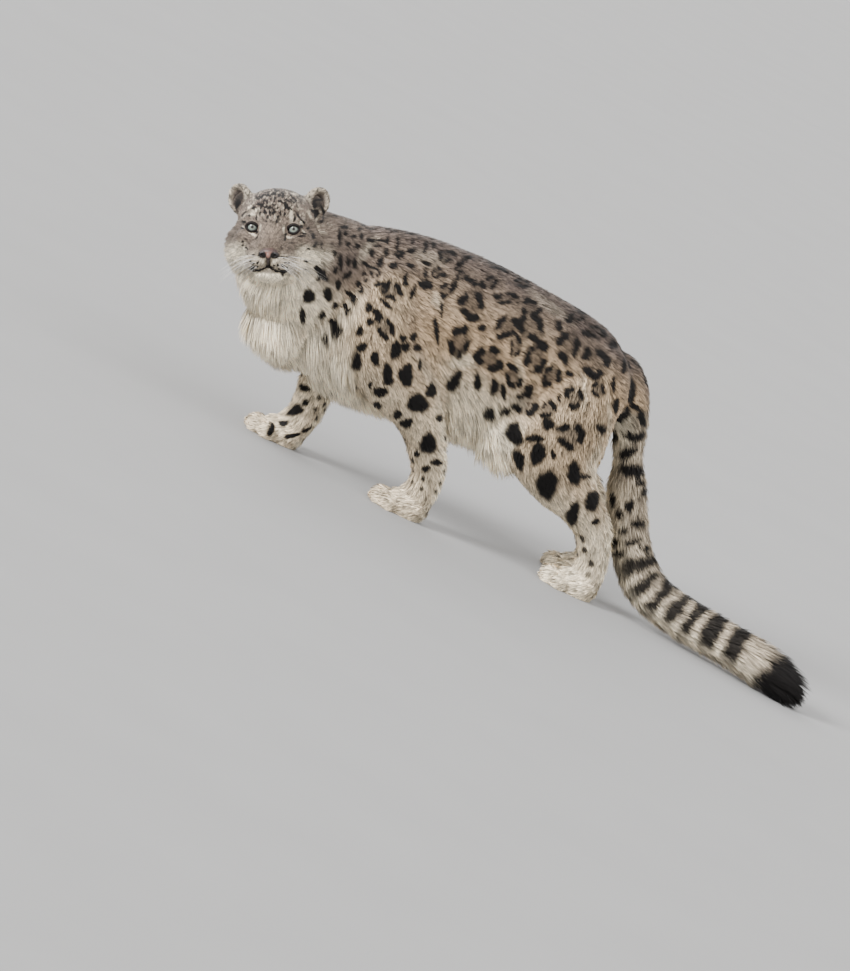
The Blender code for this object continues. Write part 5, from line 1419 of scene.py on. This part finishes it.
def eye_material():
    """Pupil, iris with fine fibres, dark rim and dark white of the eye, by the angle off the line of sight, with a
    painted shadow of the upper lid darkening the top of the eye.
    """
    made, tree, shader = new_material("eye_gloss", (0.3, 0.33, 0.28, 1.0), 0.22)
    layer = node(tree, "ShaderNodeAttribute", attribute_name="iris")
    parts = node(tree, "ShaderNodeSeparateColor", {0: layer.outputs["Color"]})
    streak = node(tree, "ShaderNodeCombineXYZ", {0: maths(tree, "MULTIPLY", parts.outputs["Red"], 6.0),
                                                1: maths(tree, "MULTIPLY", parts.outputs["Green"], 30.0),
                                                2: maths(tree, "MULTIPLY", parts.outputs["Blue"], 30.0)})
    fibres = node(tree, "ShaderNodeTexNoise", {"Vector": streak.outputs[0], "Scale": 1.0, "Detail": 3.0})
    ramp = node(tree, "ShaderNodeValToRGB", {0: parts.outputs["Red"]})
    stops = ramp.color_ramp.elements
    stops[0].position, stops[0].color = 0.0, (0.004, 0.004, 0.005, 1.0)
    stops[1].position, stops[1].color = 0.056, (0.004, 0.004, 0.005, 1.0)
    colours = ((0.072, (0.11, 0.11, 0.080, 1)), (0.11, (0.150, 0.172, 0.145, 1)), (0.180, (0.118, 0.142, 0.128, 1)),
               (0.214, (0.04, 0.047, 0.044, 1)), (0.230, (0.008, 0.007, 0.006, 1)), (1.0, (0.02, 0.015, 0.012, 1)))
    for position, colour in colours:
        stops.new(position).color = colour
    # Painted shadow of the upper lid: the eye is darker towards its top and lighter towards its bottom
    lid_shadow = maths(tree, "MULTIPLY_ADD", parts.outputs["Blue"], -0.62, 1.42)
    shade = maths(tree, "MULTIPLY_ADD", fibres.outputs["Fac"], 0.8, 0.6)
    shade = maths(tree, "MULTIPLY", shade, lid_shadow)
    grey = node(tree, "ShaderNodeCombineColor", {0: shade, 1: shade, 2: shade}).outputs[0]
    tree.links.new(mix_colour(tree, 1.0, ramp.outputs["Color"], grey, "MULTIPLY"), shader.inputs["Base Color"])
    shader.inputs["Coat Weight"].default_value = 0.30
    shader.inputs["Coat Roughness"].default_value = 0.05
    return made


def lid_piece(name, side):
    """The dark rim of the lids: a tube round the opening, pointed at both corners, on the eyeball."""
    turn = np.linspace(0.0, 2 * np.pi, 61)[:-1]
    slant = math.radians(EYE_SLANT)
    height = np.where(np.sin(turn) > 0.0, 0.0100, 0.0108)
    wide, high = 0.0136 * np.cos(turn), height * np.sin(turn) * (1.0 - 0.12 * np.abs(np.cos(turn)))
    corner = np.exp(-((turn - np.pi) / 0.35) ** 2)
    wide = wide - 0.0048 * corner
    high = high - 0.0034 * corner
    x = wide * math.cos(slant) - high * math.sin(slant)
    z = wide * math.sin(slant) + high * math.cos(slant)
    reach = np.sqrt(np.maximum((EYE_RADIUS + 0.0024) ** 2 - x**2 - z**2, 1e-8))
    centre = np.stack([side * x, -reach, z], 1) + (side * EYE_PLACE[0], *EYE_PLACE[1:])
    along = unit(np.roll(centre, -1, 0) - np.roll(centre, 1, 0))
    out = unit(centre - (side * EYE_PLACE[0], *EYE_PLACE[1:]))
    across = np.cross(along, out)
    spin = np.linspace(0.0, 2 * np.pi, 10, endpoint=False)
    size = (0.0025 + 0.0006 * np.maximum(np.sin(turn), 0.0) + 0.0010 * corner)[:, None, None]
    ring = centre[:, None] + size * (out[:, None] * np.cos(spin)[:, None] + across[:, None] * 1.25 * np.sin(spin)[:, None])
    rows, spokes = ring.shape[:2]
    a = np.arange(rows)[:, None] * spokes + np.arange(spokes)
    b = np.arange(rows)[:, None] * spokes + (np.arange(spokes) + 1) % spokes
    c, d = (b + spokes) % (rows * spokes), (a + spokes) % (rows * spokes)
    triangles = np.concatenate([np.stack([a, b, c], -1), np.stack([a, c, d], -1)]).reshape(-1, 3)
    points = from_head(ring.reshape(-1, 3))
    face = points[triangles[0]]
    outward = np.cross(face[1] - face[0], face[2] - face[0]) @ (face.mean(0) - from_head(centre[0]))
    if outward < 0:
        triangles = triangles[:, ::-1]
    return new_object(name, new_mesh(name, points, triangles))


def nose_piece():
    """The bare nose: a broad pad with a wing over each nostril and a stem down to the lip."""
    forms = [ellipsoid((0.0, -0.1430, -0.0555), (0.0190, 0.0115, 0.0090), (24.0, 0.0, 0.0), 40)]
    forms += both_sides((0.0150, -0.1420, -0.0615), (0.0088, 0.0105, 0.0085), (0.0, 20.0, 14.0))
    forms.append(ellipsoid((0.0, -0.1465, -0.0655), (0.0068, 0.0090, 0.0105), (12.0, 0.0, 0.0)))
    forms.append(ellipsoid((0.0, -0.1440, -0.0770), (0.0030, 0.0070, 0.0100), (0.0, 0.0, 0.0)))
    nose = fused("nose", forms, 0.0011, 4)
    for form in both_sides((0.0142, -0.1560, -0.0635), (0.0070, 0.0100, 0.0048), (0.0, 16.0, 22.0)):
        boolean(nose, new_object("nostril", new_mesh("nostril", *form)), "DIFFERENCE")
    points, triangles = form_of(nose)
    # Painted shade: the leather inside the nostrils turns black; it also turns near black towards the bottom of the
    # nose
    near = np.linalg.norm((np.stack([np.abs(points[:, 0]), points[:, 1], points[:, 2]], 1)
                           - NOSTRIL_PLACE) / (0.0092, 0.0095, 0.0066), axis=1)
    hollow_shade = smoothstep(1.25, 0.85, near)
    hollow_shade = np.maximum(hollow_shade, 0.95 * smoothstep(-0.0665, -0.0725, points[:, 2]))
    narrowing = np.interp(points[:, 2], (-0.0690, -0.0540), (0.0030, 0.0080))
    edge = smoothstep(0.75, 1.25, np.abs(points[:, 0]) / narrowing)
    edge = np.maximum(edge, 0.85 * smoothstep(-0.0590, -0.0530, points[:, 2]))
    obj = new_object("nose", new_mesh("nose", from_head(points), triangles))
    extra = np.stack([hollow_shade, edge, 0 * edge, 1 + 0 * edge], 1)
    obj.data.attributes.new("leather", "FLOAT_COLOR", "POINT").data.foreach_set("color", extra.astype(np.float32).ravel())
    return obj


def pebble_group():
    """Fine pebbling of bare skin: the distance between random cells on Object coordinates."""
    tree, given, result = shader_group("skin_pebbles", (("Scale", "NodeSocketFloat", 900.0),), (("Height", "NodeSocketFloat"),))
    place = node(tree, "ShaderNodeTexCoord").outputs["Object"]
    cells = node(tree, "ShaderNodeTexVoronoi", {"Vector": place, "Scale": given.outputs["Scale"]})
    tree.links.new(cells.outputs["Distance"], result.inputs["Height"])
    return tree


def nose_material(pebbles):
    """Salmon pink leather, darker at the wings; painted shade makes the nostrils black, and the leather turns near
    black towards the bottom.
    """
    made, tree, shader = new_material("nose_leather", (0.36, 0.17, 0.13, 1.0), 0.42, 0.4)
    layer = node(tree, "ShaderNodeAttribute", attribute_name="leather")
    parts = node(tree, "ShaderNodeSeparateColor", {0: layer.outputs["Color"]})
    edged = mix_colour(tree, parts.outputs["Green"], (0.155, 0.078, 0.060, 1.0), (0.034, 0.019, 0.016, 1.0))
    colour = mix_colour(tree, parts.outputs["Red"], edged, (0.008, 0.006, 0.006, 1.0))
    tree.links.new(colour, shader.inputs["Base Color"])
    cells = node(tree, "ShaderNodeGroup", {"Scale": 900.0}, node_tree=pebbles)
    bump = node(tree, "ShaderNodeBump", {"Height": cells.outputs[0], "Strength": 0.35, "Distance": 0.0006})
    tree.links.new(bump.outputs[0], shader.inputs["Normal"])
    return made


def rim_material(pebbles):
    """The black-brown bare skin of lids and lips."""
    made, tree, shader = new_material("rim_leather", (0.007, 0.0055, 0.005, 1.0), 0.55, 0.12)
    place = node(tree, "ShaderNodeTexCoord").outputs["Object"]
    patch = node(tree, "ShaderNodeTexNoise", {"Vector": place, "Scale": 220.0}).outputs["Fac"]
    colour = mix_colour(tree, patch, (0.004, 0.003, 0.003, 1.0), (0.014, 0.010, 0.009, 1.0))
    tree.links.new(colour, shader.inputs["Base Color"])
    cells = node(tree, "ShaderNodeGroup", {"Scale": 1200.0}, node_tree=pebbles)
    bump = node(tree, "ShaderNodeBump", {"Height": cells.outputs[0], "Strength": 0.25, "Distance": 0.0005})
    tree.links.new(bump.outputs[0], shader.inputs["Normal"])
    return made


def lips_piece(tree):
    """The line of the mouth: a tube along the lips, laid on the skin and thickest at the corners."""
    half = catmull_rom(MOUTH_HALF, 8)
    line = np.vstack([half[:0:-1] * (-1.0, 1.0, 1.0), half])
    laid = []
    for point in line:
        place = from_head(point)
        way = unit(place - from_head((0.0, -0.06, -0.085)))
        hit, normal, _, _ = tree.ray_cast(Vector(place + way * 0.03), Vector(-way))
        laid.append(np.array(hit) + np.array(normal) * 0.0008 if hit is not None else place)
    laid = np.array(laid)
    for _ in range(3):
        laid[1:-1] = (laid[:-2] + 2 * laid[1:-1] + laid[2:]) / 4
    off = np.abs(np.linspace(-1.0, 1.0, len(laid)))
    radii = (0.0012 + 0.0022 * smoothstep(0.45, 0.80, off)) * smoothstep(1.02, 0.90, off)
    return new_object("lips", new_mesh("lips", *tube(laid, np.maximum(radii, 0.0002))))


def whisker_piece(tree, rng):
    """Stiff hairs in rows on the pads: each curve leaves the skin outwards and bends back and down."""
    forms = []
    for side in (1, -1):
        for row in range(4):
            for k in range(5):
                x, z = 0.020 + 0.0065 * k, -0.068 - 0.0065 * row + 0.001 * k
                start = from_head((side * x, -0.19, z))
                hit, normal, _, _ = tree.ray_cast(Vector(start), Vector(from_head((0, 1, 0)) - HEAD_ORIGIN))
                if hit is None:
                    continue
                length = 0.045 + 0.012 * k + 0.008 * rng.random()
                local = to_head(np.array([hit]))[0]
                way = unit(np.array((side * 1.0, -0.35 + 0.22 * k, -0.10 - 0.10 * row + 0.15 * rng.normal())))
                t = np.linspace(0.0, 1.0, 9)[:, None]
                curve = local + length * (way * t + np.array((0.0, 0.28, -0.22)) * t**2) - 0.002 * way
                forms.append(tube(from_head(curve), 0.00034 * (1.0 - 0.85 * t[:, 0]), 5))
    return new_object("whiskers", new_mesh("whiskers", *merged(forms)))


def whisker_material():
    made, tree, shader = new_material("whisker_hair", (0.72, 0.69, 0.63, 1.0), 0.35, 0.5)
    place = node(tree, "ShaderNodeTexCoord").outputs["Object"]
    streak = node(tree, "ShaderNodeTexNoise", {"Vector": place, "Scale": 60.0}).outputs["Fac"]
    colour = mix_colour(tree, streak, (0.62, 0.58, 0.52, 1.0), (0.84, 0.82, 0.78, 1.0))
    tree.links.new(colour, shader.inputs["Base Color"])
    return made


def studio():
    """A wide pale floor, a soft sky of light and three broad suns."""
    reach = 90.0
    corners = [(-reach, -reach, 0.0), (reach, -reach, 0.0), (reach, reach, 0.0), (-reach, reach, 0.0)]
    floor = new_object("floor", new_mesh("floor", np.array(corners), np.array(((0, 1, 2), (0, 2, 3)))))
    made, tree, shader = new_material("floor_paint", (0.34, 0.34, 0.335, 1.0), 0.9, 0.2)
    place = node(tree, "ShaderNodeTexCoord").outputs["Object"]
    cloud = node(tree, "ShaderNodeTexNoise", {"Vector": place, "Scale": 3.0, "Detail": 3.0}).outputs["Fac"]
    painted = mix_colour(tree, cloud, (0.262, 0.262, 0.262, 1.0), (0.286, 0.286, 0.286, 1.0))
    tree.links.new(painted, shader.inputs["Base Color"])
    floor.data.materials.append(made)
    world = bpy.data.worlds.new("studio")
    world.use_nodes = True
    world.node_tree.nodes["Background"].inputs[0].default_value = (1.0, 0.98, 0.96, 1.0)
    world.node_tree.nodes["Background"].inputs[1].default_value = 1.36
    bpy.context.scene.world = world
    for name, energy, angle, way in (
        ("key", 7.0, 20.0, RIGHT * -0.75 + UP * 0.90 + BACKWARD * 1.00),
        ("fill", 1.9, 60.0, RIGHT * 0.9 + UP * 0.35 + BACKWARD * 0.8),
        ("rear", 2.3, 60.0, RIGHT * -0.2 + UP * 0.8 - BACKWARD * 0.8),
    ):
        data = bpy.data.lights.new(name, "SUN")
        data.energy = energy
        data.angle = math.radians(angle)
        lamp = bpy.data.objects.new(name, data)
        bpy.context.scene.collection.objects.link(lamp)
        lamp.rotation_euler = Vector(way).to_track_quat("Z", "Y").to_euler()


def surface_of(mesh):
    return BVHTree.FromPolygons([tuple(p) for p in points_of(mesh)], triangles_of(mesh).tolist())


def bareness(fields, points, normals):
    """How much of the skin is bare: all of it under the soles, in the sockets, and under nose and lips."""
    sole = smoothstep(-0.5, -0.8, normals[:, 2]) * smoothstep(0.020, 0.010, points[:, 2])
    head = fields["head"]
    side = np.stack([np.abs(head[:, 0]), head[:, 1], head[:, 2]], 1) - EYE_PLACE
    turn = math.radians(EYE_SLANT)
    x = side[:, 0] * math.cos(turn) + side[:, 2] * math.sin(turn)
    z = -side[:, 0] * math.sin(turn) + side[:, 2] * math.cos(turn)
    lids = smoothstep(1.14, 1.0, np.hypot(x / 0.0172, z / 0.0150)) * (side[:, 1] < 0.0)
    socket = smoothstep(EYE_RADIUS + 0.0016, EYE_RADIUS + 0.0008, np.linalg.norm(side, axis=1))
    nose = np.linalg.norm((head - (0.0, -0.146, -0.0605)) / (0.0235, 0.0185, 0.0135), axis=1)
    bare = np.maximum.reduce([sole, lids, socket, smoothstep(1.08, 0.95, nose)])
    return bare


def all_marks(tree, points, normals, fields, rng):
    """The marks of both sides, the photo's ones first, each with its number."""
    def found(rows):
        return [mark for mark in (mark_from_photo(tree, row) for row in rows) if mark]

    def grown(rows, times):
        return [(*row[:2], row[2] * times, row[3] * times, *row[4:]) for row in rows]

    body = [*grown(FLANK_MARKS, FLANK_GROWTH), *grown((*THIGH_MARKS, *SHOULDER_MARKS, *NECK_MARKS), BODY_GROWTH)]
    marks = found((*body, *BODY_PATCHES))
    marks += [mirrored_mark(mark, tree, rng) for mark in marks]
    drawn = [(*row[:2], row[2] + FACE_GROWTH, row[3] + FACE_GROWTH, *row[4:]) for row in FACE_MARKS]
    marks += found((*grown(TAIL_MARKS, TAIL_GROWTH), *drawn, *FACE_PATCHES))
    marks += fill_marks(points, normals, fields, marks, rng)
    return [{**mark, "number": number} for number, mark in enumerate(marks)]


def dress():
    """The skin and coat over the solids' flesh, then the eyes, lids, nose, lips and whiskers."""
    rng = np.random.default_rng(7)
    skin = make_skin()
    mesh = skin.data
    points, normals = points_of(mesh), normals_of(mesh)
    fields = skin_fields(points, normals)
    points = points - normals * fields["depth"][:, None]
    mesh.vertices.foreach_set("co", points.astype(np.float32).ravel())
    mesh.update()
    mesh.shade_smooth()
    normals = normals_of(mesh)
    tree = surface_of(mesh)
    marks = all_marks(tree, points, normals, fields, rng)
    triangles = triangles_of(mesh)
    middle = points[triangles].mean(1)
    thirds = np.full((len(triangles), 3), 1.0 / 3.0)
    record = {"points": points, "normals": normals, "fields": fields, "triangles": triangles}
    record["piece"] = piece_of(middle, fields_at(fields, triangles, thirds))
    record["bare"] = bareness(fields, points, normals)
    group = coat_colour_group()
    fur = fur_material("long_fur", group, 0.65, 0.14)
    skin_finish = skin_material(group)
    dark, centre, light = darkness(points, normals, fields, marks)
    painted = np.column_stack([dark, colours(points, normals, fields, centre, light)])
    layer = mesh.attributes.new("painted", "FLOAT_COLOR", "POINT")
    layer.data.foreach_set("color", painted.astype(np.float32).ravel())
    # Painted shade: the skin reads as tuft roots, 0.35 of the way along, so the root shade darkens it where it shows
    # between the tufts
    skin_root_shade = np.tile(np.array((0.35, 0.5, 0.0, 1.0), np.float32), (len(points), 1))
    mesh.attributes.new("tuft", "FLOAT_COLOR", "POINT").data.foreach_set("color", skin_root_shade.ravel())
    mesh.materials.clear()
    mesh.materials.append(skin_finish)
    skin.name = "skin"
    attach(skin, "root")
    flesh = [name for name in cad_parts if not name.startswith("eye_")]
    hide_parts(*flesh)
    for piece in range(len(COAT_PIECES)):
        coat = grow_piece(piece, record, marks, rng)
        coat.data.materials.append(fur)
        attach(coat, "root")
    pebbles = pebble_group()
    rim, wet = rim_material(pebbles), eye_material()
    for name, side in (("left", 1), ("right", -1)):
        eye = eye_piece("eyeball_" + name, side)
        eye.data.materials.append(wet)
        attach(eye, "root")
        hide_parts("eye_" + name)
        lid = lid_piece("lid_rim_" + name, side)
        lid.data.materials.append(rim)
        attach(lid, "root")
    nose = nose_piece()
    nose.data.materials.append(nose_material(pebbles))
    lips = lips_piece(tree)
    lips.data.materials.append(rim)
    whiskers = whisker_piece(tree, rng)
    whiskers.data.materials.append(whisker_material())
    for obj, slot in ((nose, "nose"), (lips, "nose"), (whiskers, "whisker")):
        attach(obj, "root")


make_camera()
studio()
dress()
